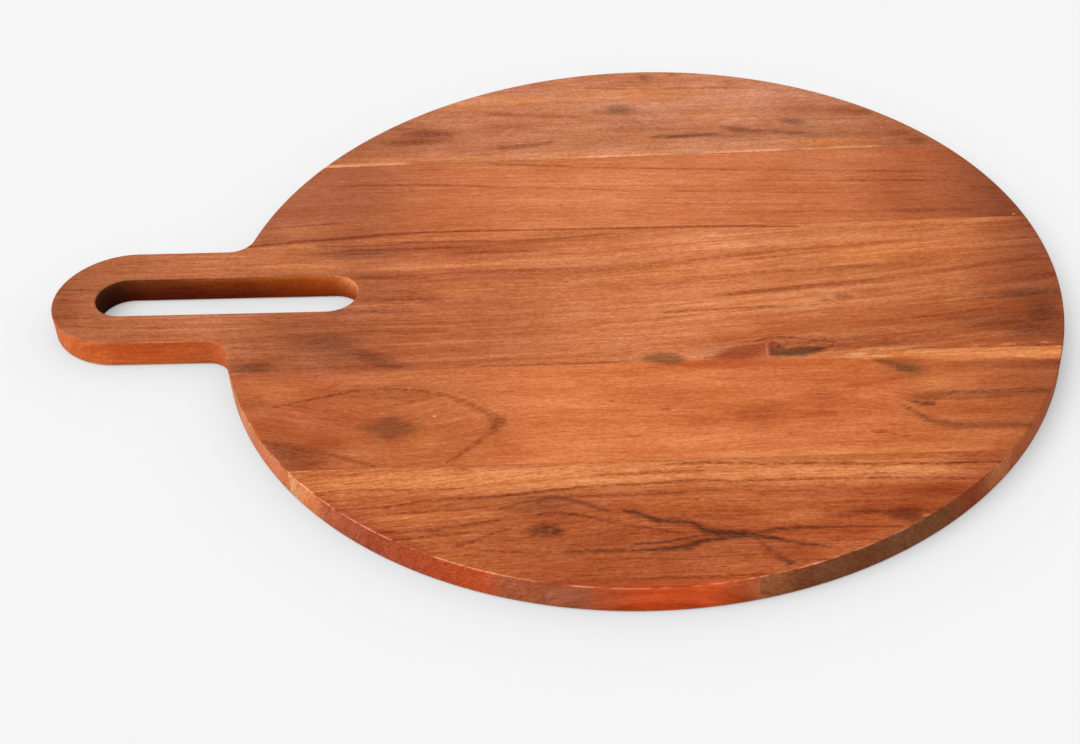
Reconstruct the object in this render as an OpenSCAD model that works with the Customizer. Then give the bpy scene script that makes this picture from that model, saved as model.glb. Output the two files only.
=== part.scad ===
// Round serving board with a slotted handle, edge-glued from long hardwood staves.
// The disc's centre on the underside is the origin, the handle points to -X and +Z is up.

/* [Board] */
// Diameter of the round board
board_d = 400; // [340:5:480]
// Thickness of the board
board_t = 14; // [10:0.5:25]
// Radius that eases every arris, round the outline and round the slot
arris_r = 1; // [0.4:0.1:3]

/* [Handle] */
// How far the handle's tip stands out from the disc
handle_reach = 88; // [70:1:130]
// Width of the handle, whose tip is a full round
handle_w = 72; // [56:1:80]
// Radius of the inside corners where the handle leaves the disc
handle_fillet_r = 12; // [6:0.5:25]

/* [Grip slot] */
// Width of the grip slot, whose ends are full rounds
slot_w = 29; // [22:0.5:40]
// Length of the grip slot from end to end
slot_l = 130; // [90:1:150]

/* [Staves] */
// Angle between the seams and the handle, in degrees
seam_skew = 1; // [0:0.1:2]
// Width of the stave that runs out into the handle
handle_stave_w = 105; // [100:0.5:120]
// How far the middle of that stave lies in front of the disc's centre
handle_stave_shift = 6; // [0:0.5:8]
// Depth of the back stave, from the rim to its seam
back_stave_w = 87.5; // [60:0.5:100]
// Width of the stave in front of the handle stave
front_inner_w = 66.5; // [40:0.5:80]
// Depth of the strip that completes the disc at the front, from the rim to its seam
front_strip_w = 4.8; // [3:0.1:20]
// Thickness of a glue line
glue_t = 0.15; // [0.1:0.05:0.5]

/* [Hidden] */
// Sides of a drawn round, enough for the shallow strip at the front
$fn = 360;
// Flats that ease each arris
arris_flats = 3;

// How far a cut runs past the wood
overrun = 2;
// How deep the fillets run out below the rim and the handle's sides, too little to feel
fillet_run_out = 0.02;

board_r = board_d / 2;
handle_r = handle_w / 2;
slot_r = slot_w / 2;

// The handle's full round, and the slot's outer end, turn about one axis near the tip
tip_x = -(board_r + handle_reach - handle_r);
slot_run = slot_l - slot_w;

// Centre of the back root fillet: tangent to the disc and to the handle's side
root_y = handle_r + handle_fillet_r;
root_x = -sqrt(pow(board_r + handle_fillet_r, 2) - pow(root_y, 2));
// Where the handle's root begins on the way from the disc's centre to the fillets' centres
root_inner_share = 0.5;

// Seams from back to front, each as its distance behind the disc's centre, square to the seam
seam_ys = [
    board_r - back_stave_w,
    handle_stave_w / 2 - handle_stave_shift,
    -handle_stave_w / 2 - handle_stave_shift,
    -handle_stave_w / 2 - handle_stave_shift - front_inner_w,
    front_strip_w - board_r,
];
// The outermost staves run to lines clear of the disc
clear_y = board_r + overrun;
slab_reach = board_r + handle_reach + overrun;

// The eased corner of a section: short flats that round an arris about its centre
function arris(centre_x, centre_z, from_angle, to_angle) = [
    for (i = [0:arris_flats])
        let (angle = from_angle + (to_angle - from_angle) * i / arris_flats)
            [centre_x + arris_r * cos(angle), centre_z + arris_r * sin(angle)]
];

// Section from an axis out to a face at distance reach, with both outer arrises eased
module eased_half(reach) {
    x = reach - arris_r;
    polygon(concat(
        [[0, 0]],
        arris(x, arris_r, -90, 0),
        arris(x, board_t - arris_r, 0, 90),
        [[0, board_t]]
    ));
}

// Section of a cutter whose wall at distance reach leaves both arrises of the wood eased
module flared_half(reach) {
    x = reach + arris_r;
    polygon(concat(
        [[0, -overrun], [x, -overrun]],
        arris(x, arris_r, 270, 180),
        arris(x, board_t - arris_r, 180, 90),
        [[x, board_t + overrun], [0, board_t + overrun]]
    ));
}

// Both halves of a section about the middle plane
module both_halves() {
    children();
    mirror([1, 0]) children();
}

// A section that stands in the YZ plane, drawn out along X
module along_x(run) {
    rotate([90, 0, 90])
        linear_extrude(run) children();
}

// A half turn of a section about the vertical axis, on the side that the angle faces
module half_turn(facing) {
    rotate([0, 0, facing - 90])
        rotate_extrude(angle = 180) children();
}

module disc_round() {
    rotate_extrude() eased_half(board_r);
}

// The sector that carries the disc into the handle, hollowed by the two root fillets: its sides
// are the lines from the disc's centre to the fillets' centres, where disc and fillet are tangent
module handle_root() {
    difference() {
        linear_extrude(board_t)
            polygon([
                [root_inner_share * root_x, root_inner_share * root_y],
                [root_x, root_y],
                [root_x, -root_y],
                [root_inner_share * root_x, -root_inner_share * root_y],
            ]);
        for (side = [-1, 1])
            translate([root_x, side * root_y, 0])
                rotate_extrude() flared_half(handle_fillet_r + fillet_run_out);
    }
}

// The handle's straight length, which laps into its root, and its full round tip
module handle_bar() {
    translate([tip_x, 0, 0]) {
        along_x(root_x - tip_x + handle_fillet_r) both_halves() eased_half(handle_r);
        half_turn(180) eased_half(handle_r);
    }
}

// The finger slot, which reaches past the handle's root into the disc
module grip_slot() {
    translate([tip_x, 0, 0]) {
        along_x(slot_run) both_halves() flared_half(slot_r);
        half_turn(180) flared_half(slot_r);
        translate([slot_run, 0, 0]) half_turn(0) flared_half(slot_r);
    }
}

// The finished outline, which is cut and eased after the staves are glued up
module board_blank() {
    difference() {
        union() {
            disc_round();
            handle_root();
            handle_bar();
        }
        grip_slot();
    }
}

// A layer of the glued panel between two lines that run along the seams
module panel_layer(front_y, back_y) {
    intersection() {
        board_blank();
        rotate([0, 0, seam_skew])
            translate([-slab_reach, front_y, -overrun])
                cube([2 * slab_reach, back_y - front_y, board_t + 2 * overrun]);
    }
}

// A stave between two neighbouring lines, set back by half a glue line at each seam
module stave(front_seam, back_seam) {
    panel_layer(front_seam + glue_t / 2, back_seam - glue_t / 2);
}

// The glue film in a seam, numbered from the back
module glue_line(number) {
    y = seam_ys[number - 1];
    color("saddlebrown") panel_layer(y - glue_t / 2, y + glue_t / 2);
}

module back_stave() { color("peru") stave(seam_ys[0], clear_y); }

module rear_inner_stave() { color("sienna") stave(seam_ys[1], seam_ys[0]); }

module handle_stave() { color("chocolate") stave(seam_ys[2], seam_ys[1]); }

module front_inner_stave() { color("coral") stave(seam_ys[3], seam_ys[2]); }

module front_stave() { color("indianred") stave(seam_ys[4], seam_ys[3]); }

module front_strip() { color("orangered") stave(-clear_y, seam_ys[4]); }

back_stave();
rear_inner_stave();
handle_stave();
front_inner_stave();
front_stave();
front_strip();
glue_line(1);  // glue_line_1
glue_line(2);  // glue_line_2
glue_line(3);  // glue_line_3
glue_line(4);  // glue_line_4
glue_line(5);  // glue_line_5
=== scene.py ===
"""Looks of a round serving board with a slotted handle: six oiled hardwood staves and their glue lines.

Meshes are in metres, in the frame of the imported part: +X away from the handle, +Y to the back, +Z up.
The finishes work in millimetres of the same frame.
"""

import logging
import math
from dataclasses import dataclass
from enum import Enum
from functools import cache, reduce
from typing import Callable, Iterable, Sequence

import bmesh
import bpy
import numpy as np
from mathutils import Matrix, Vector


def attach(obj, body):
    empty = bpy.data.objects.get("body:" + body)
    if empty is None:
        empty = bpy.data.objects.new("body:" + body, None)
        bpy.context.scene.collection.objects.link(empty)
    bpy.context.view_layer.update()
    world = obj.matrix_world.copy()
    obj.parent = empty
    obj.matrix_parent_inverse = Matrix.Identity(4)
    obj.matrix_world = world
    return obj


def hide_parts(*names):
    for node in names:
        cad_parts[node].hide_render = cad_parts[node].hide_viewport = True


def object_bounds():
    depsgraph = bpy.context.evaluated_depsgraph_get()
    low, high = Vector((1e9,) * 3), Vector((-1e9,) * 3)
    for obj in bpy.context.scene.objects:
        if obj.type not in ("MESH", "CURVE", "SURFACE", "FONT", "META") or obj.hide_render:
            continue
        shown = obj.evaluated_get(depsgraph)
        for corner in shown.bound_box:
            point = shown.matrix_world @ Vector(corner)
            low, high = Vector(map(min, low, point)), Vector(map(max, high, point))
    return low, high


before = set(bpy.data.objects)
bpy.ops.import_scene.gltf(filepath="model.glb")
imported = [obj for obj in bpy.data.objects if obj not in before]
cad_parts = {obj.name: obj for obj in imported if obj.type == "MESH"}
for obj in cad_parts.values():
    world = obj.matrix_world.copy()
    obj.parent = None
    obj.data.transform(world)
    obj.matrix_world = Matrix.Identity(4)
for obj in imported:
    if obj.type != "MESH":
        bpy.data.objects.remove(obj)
CAD_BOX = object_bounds()

LOG = logging.getLogger("serving_board")
MM = 0.001
BODY = "root"
# Points nearer than this are one point, and edges that turn more than this are corners
WELD = 0.001 * MM
CORNER = math.radians(40)
WHITE = (0.93, 0.93, 0.93, 1.0)
GLOW_WHITE = (1.0, 1.0, 1.0, 1.0)
BOUNCE_GREY = (0.12, 0.12, 0.12, 1.0)

Colour = tuple[float, float, float]
Stops = tuple[tuple[float, Colour], ...]
Fade = tuple[float, float]
Cloud = tuple[float, float, float]


# Shape of the board

@dataclass(frozen=True)
class Outline:
    """The outline of the glued board: a disc, two root fillets and a round-ended handle with a slot.

    The seams run along the grain frame (u, v), which is the board's frame turned by the skew about the
    disc's centre. Lengths are in metres.
    """

    disc_r: float
    thickness: float
    tip_reach: float
    arris_r: float = 1.0 * MM
    handle_r: float = 36.0 * MM
    fillet_r: float = 12.0 * MM
    slot_r: float = 14.5 * MM
    slot_run: float = 101.0 * MM
    skew: float = math.radians(1.0)
    seams: tuple[float, ...] = (112.5 * MM, 46.5 * MM, -58.5 * MM, -125.0 * MM, -195.2 * MM)
    glue_t: float = 0.15 * MM
    arris_steps: int = 5

    @property
    def tip_x(self) -> float:
        """The axis of the handle's round end, and of the slot's outer end."""
        return self.handle_r - self.tip_reach

    @property
    def root(self) -> np.ndarray:
        """Centre of the back root fillet, tangent to the disc and to the handle's side."""
        y = self.handle_r + self.fillet_r
        return np.array([-math.sqrt((self.disc_r + self.fillet_r) ** 2 - y * y), y])

    @property
    def root_in_grain(self) -> np.ndarray:
        """The same centre in the grain frame, turned back by the skew.

        Returns:
            Its u and v.
        """
        x, y = self.root
        c, s = math.cos(self.skew), math.sin(self.skew)
        return np.array([x * c + y * s, y * c - x * s])

    def turned(self, u: np.ndarray, v: np.ndarray) -> tuple[np.ndarray, np.ndarray]:
        """The x and y of places in the grain frame, u along the grain and v across it."""
        c, s = math.cos(self.skew), math.sin(self.skew)
        return u * c - v * s, u * s + v * c

    def right_edge(self, v: np.ndarray, inset: np.ndarray) -> np.ndarray:
        """Where a line along the grain leaves the inset disc: u = sqrt((R - inset)^2 - v^2)."""
        return np.sqrt((self.disc_r - inset) ** 2 - v ** 2)

    def left_edge(self, v: np.ndarray, inset: np.ndarray) -> np.ndarray:
        """Where a line along the grain enters the inset outline, by the disc or by the back root fillet.

        In front of the point where disc and fillet are tangent, u is the fillet's, its centre plus
        sqrt((r + inset)^2 - (v - centre)^2). Behind that point, and in front of the handle, it is the disc's.

        Args:
            v: Distances across the grain.
            inset: Distances in from the outline.

        Returns:
            The u coordinates.
        """
        centre_u, centre_v = self.root_in_grain
        tangent_v = (self.disc_r - inset) * centre_v / (self.disc_r + self.fillet_r)
        rise = np.clip((self.fillet_r + inset) ** 2 - (v - centre_v) ** 2, 0.0, None)
        in_fillet = (v < tangent_v) & (v > 0.0)
        return np.where(in_fillet, centre_u + np.sqrt(rise), -self.right_edge(v, inset))

    def arris(self) -> tuple[np.ndarray, np.ndarray]:
        """The quarter round of an arris, from the face out to the wall.

        Returns:
            Insets r(1 - sin a) and heights t - r(1 - cos a) for angles a from 0 to 90 degrees.
        """
        angle = np.linspace(0.0, math.pi / 2, self.arris_steps + 1)
        inset = self.arris_r * (1.0 - np.sin(angle))
        return inset, self.thickness - self.arris_r * (1.0 - np.cos(angle))


OUTLINE = Outline(disc_r=CAD_BOX[1].x, thickness=CAD_BOX[1].z, tip_reach=-CAD_BOX[0].x)


@dataclass(frozen=True)
class Sanding:
    """The slow waves that hand sanding leaves in the serving face, as a sum of plane sine waves."""

    depth: float = 0.035 * MM
    lengths: tuple[float, ...] = (0.083, 0.061, 0.127)
    headings: tuple[float, ...] = (0.35, 1.25, 2.1)

    def height(self, x: np.ndarray, y: np.ndarray) -> np.ndarray:
        """Height: depth times (m - 1), with m the mean of sin(2 pi (x cos h + y sin h) / length).

        Args:
            x: The x coordinates.
            y: The y coordinates.

        Returns:
            Heights of 0 or less, to add to the face.
        """
        total = np.zeros_like(x)
        for length, heading in zip(self.lengths, self.headings):
            total += np.sin(2 * math.pi * (x * math.cos(heading) + y * math.sin(heading)) / length)
        return self.depth * (total / len(self.lengths) - 1.0)


def mirrored_shell(name: str, upper: np.ndarray, thickness: float, closed: bool) -> bpy.types.Object:
    """Makes a closed shell from upper half profiles, their mirror images below and flat ends.

    Each profile and its mirror about the middle of the thickness form one ring, and neighbouring rings
    are joined by quads. An open path gets ends of quads between each profile and its mirror.

    Args:
        name: Name of the object.
        upper: Array of (path, profile, 3) points, with path x profile turning counterclockwise from above.
        thickness: The height about whose middle the profiles are mirrored.
        closed: Whether the last profile joins the first.

    Returns:
        The new object, at the origin.
    """
    sanded = upper.copy()
    sanded[..., 2] += Sanding().height(upper[..., 0], upper[..., 1])
    lower = upper[:, ::-1] * (1, 1, -1) + (0, 0, thickness)
    rings = np.concatenate([sanded, lower], axis=1)
    count, size = rings.shape[:2]
    index = np.arange(count * size).reshape(count, size)
    ahead = np.roll(index, -1, axis=0) if closed else index[1:]
    behind = index if closed else index[:-1]
    walls = np.stack([behind, np.roll(behind, -1, axis=1), np.roll(ahead, -1, axis=1), ahead], axis=-1)
    faces = [walls.reshape(-1, 4)]
    if not closed:
        half = size // 2
        top, bottom = index[:, :half], index[:, :half - 1:-1]
        ends = np.stack([top[:, :-1], top[:, 1:], bottom[:, 1:], bottom[:, :-1]], axis=-1)
        faces += [ends[-1], ends[0, :, ::-1]]
    mesh = bpy.data.meshes.new(name)
    mesh.from_pydata(rings.reshape(-1, 3).tolist(), [], np.concatenate(faces).tolist())
    return finished(name, mesh)


def finished(name: str, mesh: bpy.types.Mesh) -> bpy.types.Object:
    """Merges the poles of a shell, shades it smooth up to its corners and puts it into the scene.

    Args:
        name: Name of the object.
        mesh: The shell.

    Returns:
        The object that holds it.
    """
    work = bmesh.new()
    work.from_mesh(mesh)
    bmesh.ops.remove_doubles(work, verts=work.verts, dist=WELD)
    work.to_mesh(mesh)
    work.free()
    mesh.polygons.foreach_set("use_smooth", np.ones(len(mesh.polygons), bool))
    mesh.set_sharp_from_angle(angle=CORNER)
    piece = bpy.data.objects.new(name, mesh)
    bpy.context.scene.collection.objects.link(piece)
    return piece


# Node graphs

@dataclass(frozen=True)
class Signal:
    """A socket in a node tree, with arithmetic that adds the nodes for it."""

    graph: "Graph"
    socket: bpy.types.NodeSocket

    def math(self, operation: str, *others: "Signal | float") -> "Signal":
        """Adds a Math node with this signal as its first value."""
        return self.graph.node("ShaderNodeMath", self, *others, operation=operation)

    def __add__(self, other: "Signal | float") -> "Signal":
        """Sum."""
        return self.math("ADD", other)

    def __sub__(self, other: "Signal | float") -> "Signal":
        """Difference."""
        return self.math("SUBTRACT", other)

    def __mul__(self, other: "Signal | float") -> "Signal":
        """Product."""
        return self.math("MULTIPLY", other)

    def __truediv__(self, other: "Signal | float") -> "Signal":
        """Quotient."""
        return self.math("DIVIDE", other)

    def size(self) -> "Signal":
        """Absolute value."""
        return self.math("ABSOLUTE")

    def larger(self, other: "Signal | float") -> "Signal":
        """The larger of two values."""
        return self.math("MAXIMUM", other)

    def fade(self, start: "Signal | float", end: "Signal | float") -> "Signal":
        """A smooth step from 1 at start to 0 at end, which may lie on either side."""
        return self.graph.node("ShaderNodeMapRange", self, start, end, 1.0, 0.0,
                               interpolation_type="SMOOTHSTEP")

    def vector(self, operation: str, *others: object) -> "Signal":
        """Adds a Vector Math node with this signal as its first vector."""
        outlet = "Value" if operation in ("LENGTH", "DOT_PRODUCT") else "Vector"
        return self.graph.node("ShaderNodeVectorMath", self, *others, operation=operation, outlet=outlet)

    def parts(self) -> tuple["Signal", "Signal", "Signal"]:
        """Splits a vector.

        Returns:
            Its three coordinates.
        """
        node = self.graph.tree.nodes.new("ShaderNodeSeparateXYZ")
        self.graph.put(node.inputs[0], self)
        return tuple(Signal(self.graph, outlet) for outlet in node.outputs)


class Graph:
    """A node tree and the few kinds of node that the finishes are made of."""

    # Sockets of a Mix node that is set to colours: its two colours, and its result
    MIX_COLOURS = (6, 7)
    MIX_RESULT = 2

    def __init__(self, tree: bpy.types.NodeTree) -> None:
        """Keeps the tree."""
        self.tree = tree

    def put(self, inlet: bpy.types.NodeSocket, value: object) -> None:
        """Links a signal to an inlet, or sets the inlet's own value.

        Args:
            inlet: The inlet.
            value: A signal or a value, or None to leave the inlet as it is.
        """
        if isinstance(value, Signal):
            self.tree.links.new(value.socket, inlet)
        elif value is not None:
            inlet.default_value = value

    def node(self, kind: str, *values: object, outlet: str | int = 0, **settings: object) -> Signal:
        """Adds a node.

        Args:
            kind: Blender's name of the node type.
            values: Signals or values for the inlets in order, with None for one that keeps its default.
            outlet: The outlet to return.
            settings: Properties of the node.

        Returns:
            The outlet's signal.
        """
        node = self.tree.nodes.new(kind)
        for key, value in settings.items():
            setattr(node, key, value)
        for inlet, value in zip(node.inputs, values):
            self.put(inlet, value)
        return Signal(self, node.outputs[outlet])

    def point(self, x: object, y: object, z: object) -> Signal:
        """Joins three coordinates into a vector."""
        return self.node("ShaderNodeCombineXYZ", x, y, z)

    def noise(self, place: Signal, detail: float, roughness: float = 0.5, outlet: str | int = 0) -> Signal:
        """Cloudy noise at a place whose unit is the size of one cloud."""
        return self.node("ShaderNodeTexNoise", place, None, 1.0, detail, roughness, outlet=outlet)

    def blend(self, factor: object, first: object, second: object, kind: str = "MIX") -> Signal:
        """Mixes two colours.

        Args:
            factor: How much of the second colour is taken.
            first: The first colour.
            second: The second colour.
            kind: Blender's name of the way of mixing.

        Returns:
            The mixed colour.
        """
        node = self.tree.nodes.new("ShaderNodeMix")
        node.data_type = "RGBA"
        node.blend_type = kind
        for index, value in zip((0, *self.MIX_COLOURS), (factor, first, second)):
            self.put(node.inputs[index], value)
        return Signal(self, node.outputs[self.MIX_RESULT])

    def group(self, tree: bpy.types.NodeTree, **values: object) -> dict[str, Signal]:
        """Places a node group.

        Args:
            tree: The group.
            values: Signals or values for its inlets, named in lower case with underscores.

        Returns:
            The group's outlets by name.
        """
        node = self.tree.nodes.new("ShaderNodeGroup")
        node.node_tree = tree
        for key, value in values.items():
            self.put(node.inputs[key], value)
        return {outlet.name: Signal(self, outlet) for outlet in node.outputs}


def largest(signals: Iterable[Signal]) -> Signal:
    """The largest of several values."""
    return reduce(Signal.larger, signals)


def new_material(name: str) -> tuple[bpy.types.Material, Graph, bpy.types.Node]:
    """Makes a material with Blender's usual shader.

    Args:
        name: Name of the material.

    Returns:
        The material, its graph and its Principled BSDF.
    """
    material = bpy.data.materials.new(name)
    material.use_nodes = True
    return material, Graph(material.node_tree), material.node_tree.nodes["Principled BSDF"]


Signals = dict[str, Signal]
Inside = Callable[[Graph, Signals], Signals]
Sockets = dict[str, str]


def shader_group(name: str, inlets: Sockets, outlets: Sockets, body: Inside) -> bpy.types.NodeTree:
    """Makes a shader node group.

    Args:
        name: Name of the group.
        inlets: Socket kinds by inlet name.
        outlets: Socket kinds by outlet name.
        body: Builds the inside from the inlets' signals and returns the outlets' signals.

    Returns:
        The group's tree.
    """
    tree = bpy.data.node_groups.new(name, "ShaderNodeTree")
    for direction, sockets in (("INPUT", inlets), ("OUTPUT", outlets)):
        for key, kind in sockets.items():
            tree.interface.new_socket(name=key, in_out=direction, socket_type=f"NodeSocket{kind}")
    graph = Graph(tree)
    source = tree.nodes.new("NodeGroupInput")
    results = body(graph, {key: Signal(graph, source.outputs[key]) for key in inlets})
    sink = tree.nodes.new("NodeGroupOutput")
    for key, signal in results.items():
        graph.put(sink.inputs[key], signal)
    return tree


# Noise that pushes the marks' edges about: the size of its clouds and the width of its swing, in millimetres
FINE_CLOUD, FINE_SWING = (3.4, 1.5, 1.5), (2.2, 1.3, 0.0)
COARSE_CLOUD, COARSE_SWING = (15.0, 7.0, 7.0), (8.0, 4.5, 0.0)
# Noise that breaks lines into dots: the size of a dot in millimetres, and the levels between which it fades
BEAD_CLOUD, BEAD_LEVELS = (2.8, 1.4, 1.4), (0.6, 0.4)


@cache
def place_group() -> bpy.types.NodeTree:
    """Makes the group of the board's place in millimetres, also pushed about by noise for natural edges.

    Returns:
        The group.
    """

    def body(graph: Graph, inlets: Signals) -> Signals:
        """Wavy adds a fine swing to the place, ragged a coarse one too, and beads break a line into dots.

        Args:
            graph: The group's graph.
            inlets: The group's inlets; not used, as the group has none.

        Returns:
            The three places, and the beads.
        """
        spot = graph.node("ShaderNodeTexCoord", outlet="Object")
        place = spot.vector("MULTIPLY", (1.0 / MM,) * 3)
        swings = []
        for cloud, swing in ((FINE_CLOUD, FINE_SWING), (COARSE_CLOUD, COARSE_SWING)):
            noise = graph.noise(place.vector("DIVIDE", cloud), detail=2.0, outlet="Color")
            swings.append(noise.vector("SUBTRACT", (0.5, 0.5, 0.5)).vector("MULTIPLY", swing))
        wavy = place.vector("ADD", swings[0])
        beads = graph.noise(place.vector("DIVIDE", BEAD_CLOUD), detail=1.0).fade(*BEAD_LEVELS)
        return {"place": place, "wavy": wavy, "ragged": wavy.vector("ADD", swings[1]), "beads": beads}

    outlets = dict.fromkeys(("place", "wavy", "ragged"), "Vector") | {"beads": "Float"}
    return shader_group("board place", {}, outlets, body)


@cache
def spot_group() -> bpy.types.NodeTree:
    """Makes the group of a soft spot: distance from a centre, turned and divided by the half sizes.

    Returns:
        The group.
    """

    def body(graph: Graph, inlets: Signals) -> Signals:
        """Mask fades from the core's share out to 1, round or pointed, and lift is exp(-distance squared).

        Args:
            graph: The group's graph.
            inlets: The group's inlets.

        Returns:
            The mask and the lift.
        """
        away = inlets["place"].vector("SUBTRACT", inlets["centre"])
        turned = graph.node("ShaderNodeVectorRotate", away, (0, 0, 0), None, inlets["turn"],
                            rotation_type="Z_AXIS")
        scaled = turned.vector("MULTIPLY", (1, 1, 0)).vector("DIVIDE", inlets["half"])
        x, y, _ = scaled.parts()
        distance = scaled.vector("LENGTH")
        pointed = distance + (x.size() + y.size() - distance) * inlets["point"]
        lift = (distance * distance * -1.0).math("EXPONENT")
        return {"mask": pointed.fade(inlets["core"], 1.0), "lift": lift}

    floats = dict.fromkeys(("turn", "core", "point"), "Float")
    inlets = {"place": "Vector", "centre": "Vector", "half": "Vector"} | floats
    return shader_group("soft spot", inlets, {"mask": "Float", "lift": "Float"}, body)


# Shares of a stroke's half width and of its half length from which its mask fades
STROKE_CORE, STROKE_TAPER = 0.15, 0.6


@cache
def stroke_group() -> bpy.types.NodeTree:
    """Makes the group of a bowed line along the grain: y = height + rise s + bow s^2, for s from -1 to 1.

    Returns:
        The group.
    """

    def body(graph: Graph, inlets: Signals) -> Signals:
        """Mask fades across the half width and towards both ends.

        Args:
            graph: The group's graph.
            inlets: The group's inlets.

        Returns:
            The mask.
        """
        x, y, _ = inlets["place"].parts()
        share = (x - inlets["middle"]) / inlets["half_length"]
        line = inlets["height"] + inlets["rise"] * share + inlets["bow"] * share * share
        across = ((y - line) / inlets["half_width"]).size()
        return {"mask": across.fade(STROKE_CORE, 1.0) * share.size().fade(STROKE_TAPER, 1.0)}

    floats = ("middle", "half_length", "height", "rise", "bow", "half_width")
    inlets = {"place": "Vector"} | dict.fromkeys(floats, "Float")
    return shader_group("grain stroke", inlets, {"mask": "Float"}, body)


@cache
def crack_group() -> bpy.types.NodeTree:
    """Makes the group of a straight piece of a check: distance to its line, divided by its width there.

    Returns:
        The group.
    """

    def body(graph: Graph, inlets: Signals) -> Signals:
        """Share along the line is the clamped projection, and the width runs from the first to the second.

        Args:
            graph: The group's graph.
            inlets: The group's inlets.

        Returns:
            The mask.
        """
        flat = inlets["place"].vector("MULTIPLY", (1, 1, 0))
        away = flat.vector("SUBTRACT", inlets["start"])
        span = inlets["end"].vector("SUBTRACT", inlets["start"])
        along = away.vector("DOT_PRODUCT", span) / span.vector("DOT_PRODUCT", span)
        share = along.math("MAXIMUM", 0.0).math("MINIMUM", 1.0)
        nearest = span.vector("MULTIPLY", graph.point(share, share, share))
        distance = away.vector("SUBTRACT", nearest).vector("LENGTH")
        width = inlets["start_width"] + (inlets["end_width"] - inlets["start_width"]) * share
        return {"mask": (distance / width).fade(0.0, 1.0)}

    vectors = dict.fromkeys(("place", "start", "end"), "Vector")
    inlets = vectors | dict.fromkeys(("start_width", "end_width"), "Float")
    return shader_group("check piece", inlets, {"mask": "Float"}, body)


@dataclass(frozen=True)
class FigureSizes:
    """Sizes of the figure's noises in millimetres or as shares of the band width, and the levels of fades."""

    depth: float = 30.0
    band_length: float = 240.0
    streak_length: float = 100.0
    streak_share: float = 0.26
    fibre_length: float = 15.0
    fibre_width: float = 0.9
    cloud_length: float = 45.0
    cloud_width: float = 24.0
    speck_length: float = 1.9
    speck_width: float = 1.2
    pore_length: float = 6.0
    pore_width: float = 0.6
    pore_levels: Fade = (0.68, 0.56)
    row_length: float = 420.0
    row_share: float = 0.6
    row_levels: Fade = (0.0, 0.03)
    dot_length: float = 6.0
    dot_width: float = 1.6
    dot_levels: Fade = (0.6, 0.42)


@cache
def figure_group() -> bpy.types.NodeTree:
    """Makes the group of hardwood's figure on a growth field: tones, fibres, pores and dotted growth lines.

    Returns:
        The group.
    """

    def body(graph: Graph, inlets: Signals) -> Signals:
        """Tone is the weighted sum of the noises about their middle, each stretched along the grain.

        Args:
            graph: The group's graph.
            inlets: The group's inlets.

        Returns:
            The tone, how dark pores and lines are, the fibres and the pores.
        """
        size = FigureSizes()
        x, y, z = inlets["place"].parts()
        field, width, seed = inlets["field"], inlets["band_width"], inlets["seed"]
        depth = z / size.depth + seed
        bands_place = graph.point(x / size.band_length, field / width, depth)
        streaks_place = graph.point(x / size.streak_length, field / (width * size.streak_share), depth)
        fibres_place = graph.point(x / size.fibre_length, field / size.fibre_width,
                                   z / size.fibre_width + seed)
        clouds_place = graph.point(x / size.cloud_length, y / size.cloud_width, depth)
        specks_place = graph.point(x / size.speck_length, y / size.speck_width, z / size.speck_width)
        pores_place = graph.point(x / size.pore_length, field / size.pore_width, z / size.pore_width + seed)
        rows_place = graph.point(x / size.row_length, field / (width * size.row_share), depth)
        dots_place = graph.point(x / size.dot_length, field / size.dot_width, depth)
        bands = graph.noise(bands_place, detail=2.0)
        streaks = graph.noise(streaks_place, detail=3.0, roughness=0.6)
        fibres = graph.noise(fibres_place, detail=3.0, roughness=0.7)
        clouds = graph.noise(clouds_place, detail=3.0, roughness=0.55)
        speckle = graph.noise(specks_place, detail=2.0, roughness=0.6)
        tone = (bands - 0.5) * inlets["bands"] + (streaks - 0.5) * inlets["streaks"]
        tone = tone + (fibres - 0.5) * inlets["fibres"] + (clouds - 0.5) * inlets["clouds"]
        tone = tone + (speckle - 0.5) * inlets["speckle"]
        dashes = graph.noise(pores_place, detail=2.0, roughness=0.6)
        pores = dashes.fade(*size.pore_levels) * inlets["pores"]
        rows = graph.noise(rows_place, detail=1.0)
        dots = graph.noise(dots_place, detail=2.0).fade(*size.dot_levels)
        lines = (rows - 0.5).size().fade(*size.row_levels) * dots * inlets["lines"]
        return {"tone": tone, "dark": pores.larger(lines), "fibres": fibres, "pores": pores}

    floats = ("field", "seed", "band_width", "bands", "streaks", "fibres", "clouds", "speckle", "pores",
              "lines")
    inlets = {"place": "Vector"} | dict.fromkeys(floats, "Float")
    outlets = dict.fromkeys(("tone", "dark", "fibres", "pores"), "Float")
    return shader_group("wood figure", inlets, outlets, body)


# How fast the red, green and blue of oiled wood follow its tone
TONE_RATES = (1.0, 1.8, 3.0)


@cache
def toned_group() -> bpy.types.NodeTree:
    """Makes the group that tones a colour as oiled wood does: green and blue follow the tone faster than red.

    Returns:
        The group.
    """

    def body(graph: Graph, inlets: Signals) -> Signals:
        """Each channel is multiplied by exp(tone times its own rate).

        Args:
            graph: The group's graph.
            inlets: The group's inlets.

        Returns:
            The toned colour.
        """
        node = graph.tree.nodes.new("ShaderNodeSeparateColor")
        graph.put(node.inputs[0], inlets["colour"])
        channels = [Signal(graph, outlet) * (inlets["tone"] * rate).math("EXPONENT")
                    for outlet, rate in zip(node.outputs, TONE_RATES)]
        return {"colour": graph.node("ShaderNodeCombineColor", *channels)}

    return shader_group("oiled tone", {"colour": "Color", "tone": "Float"}, {"colour": "Color"}, body)


# Finishes

class Laying(Enum):
    """How a stain's colour is laid on: blended in before the figure, or multiplied in after it."""

    BLEND = "MIX"
    PRODUCT = "MULTIPLY"


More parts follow.
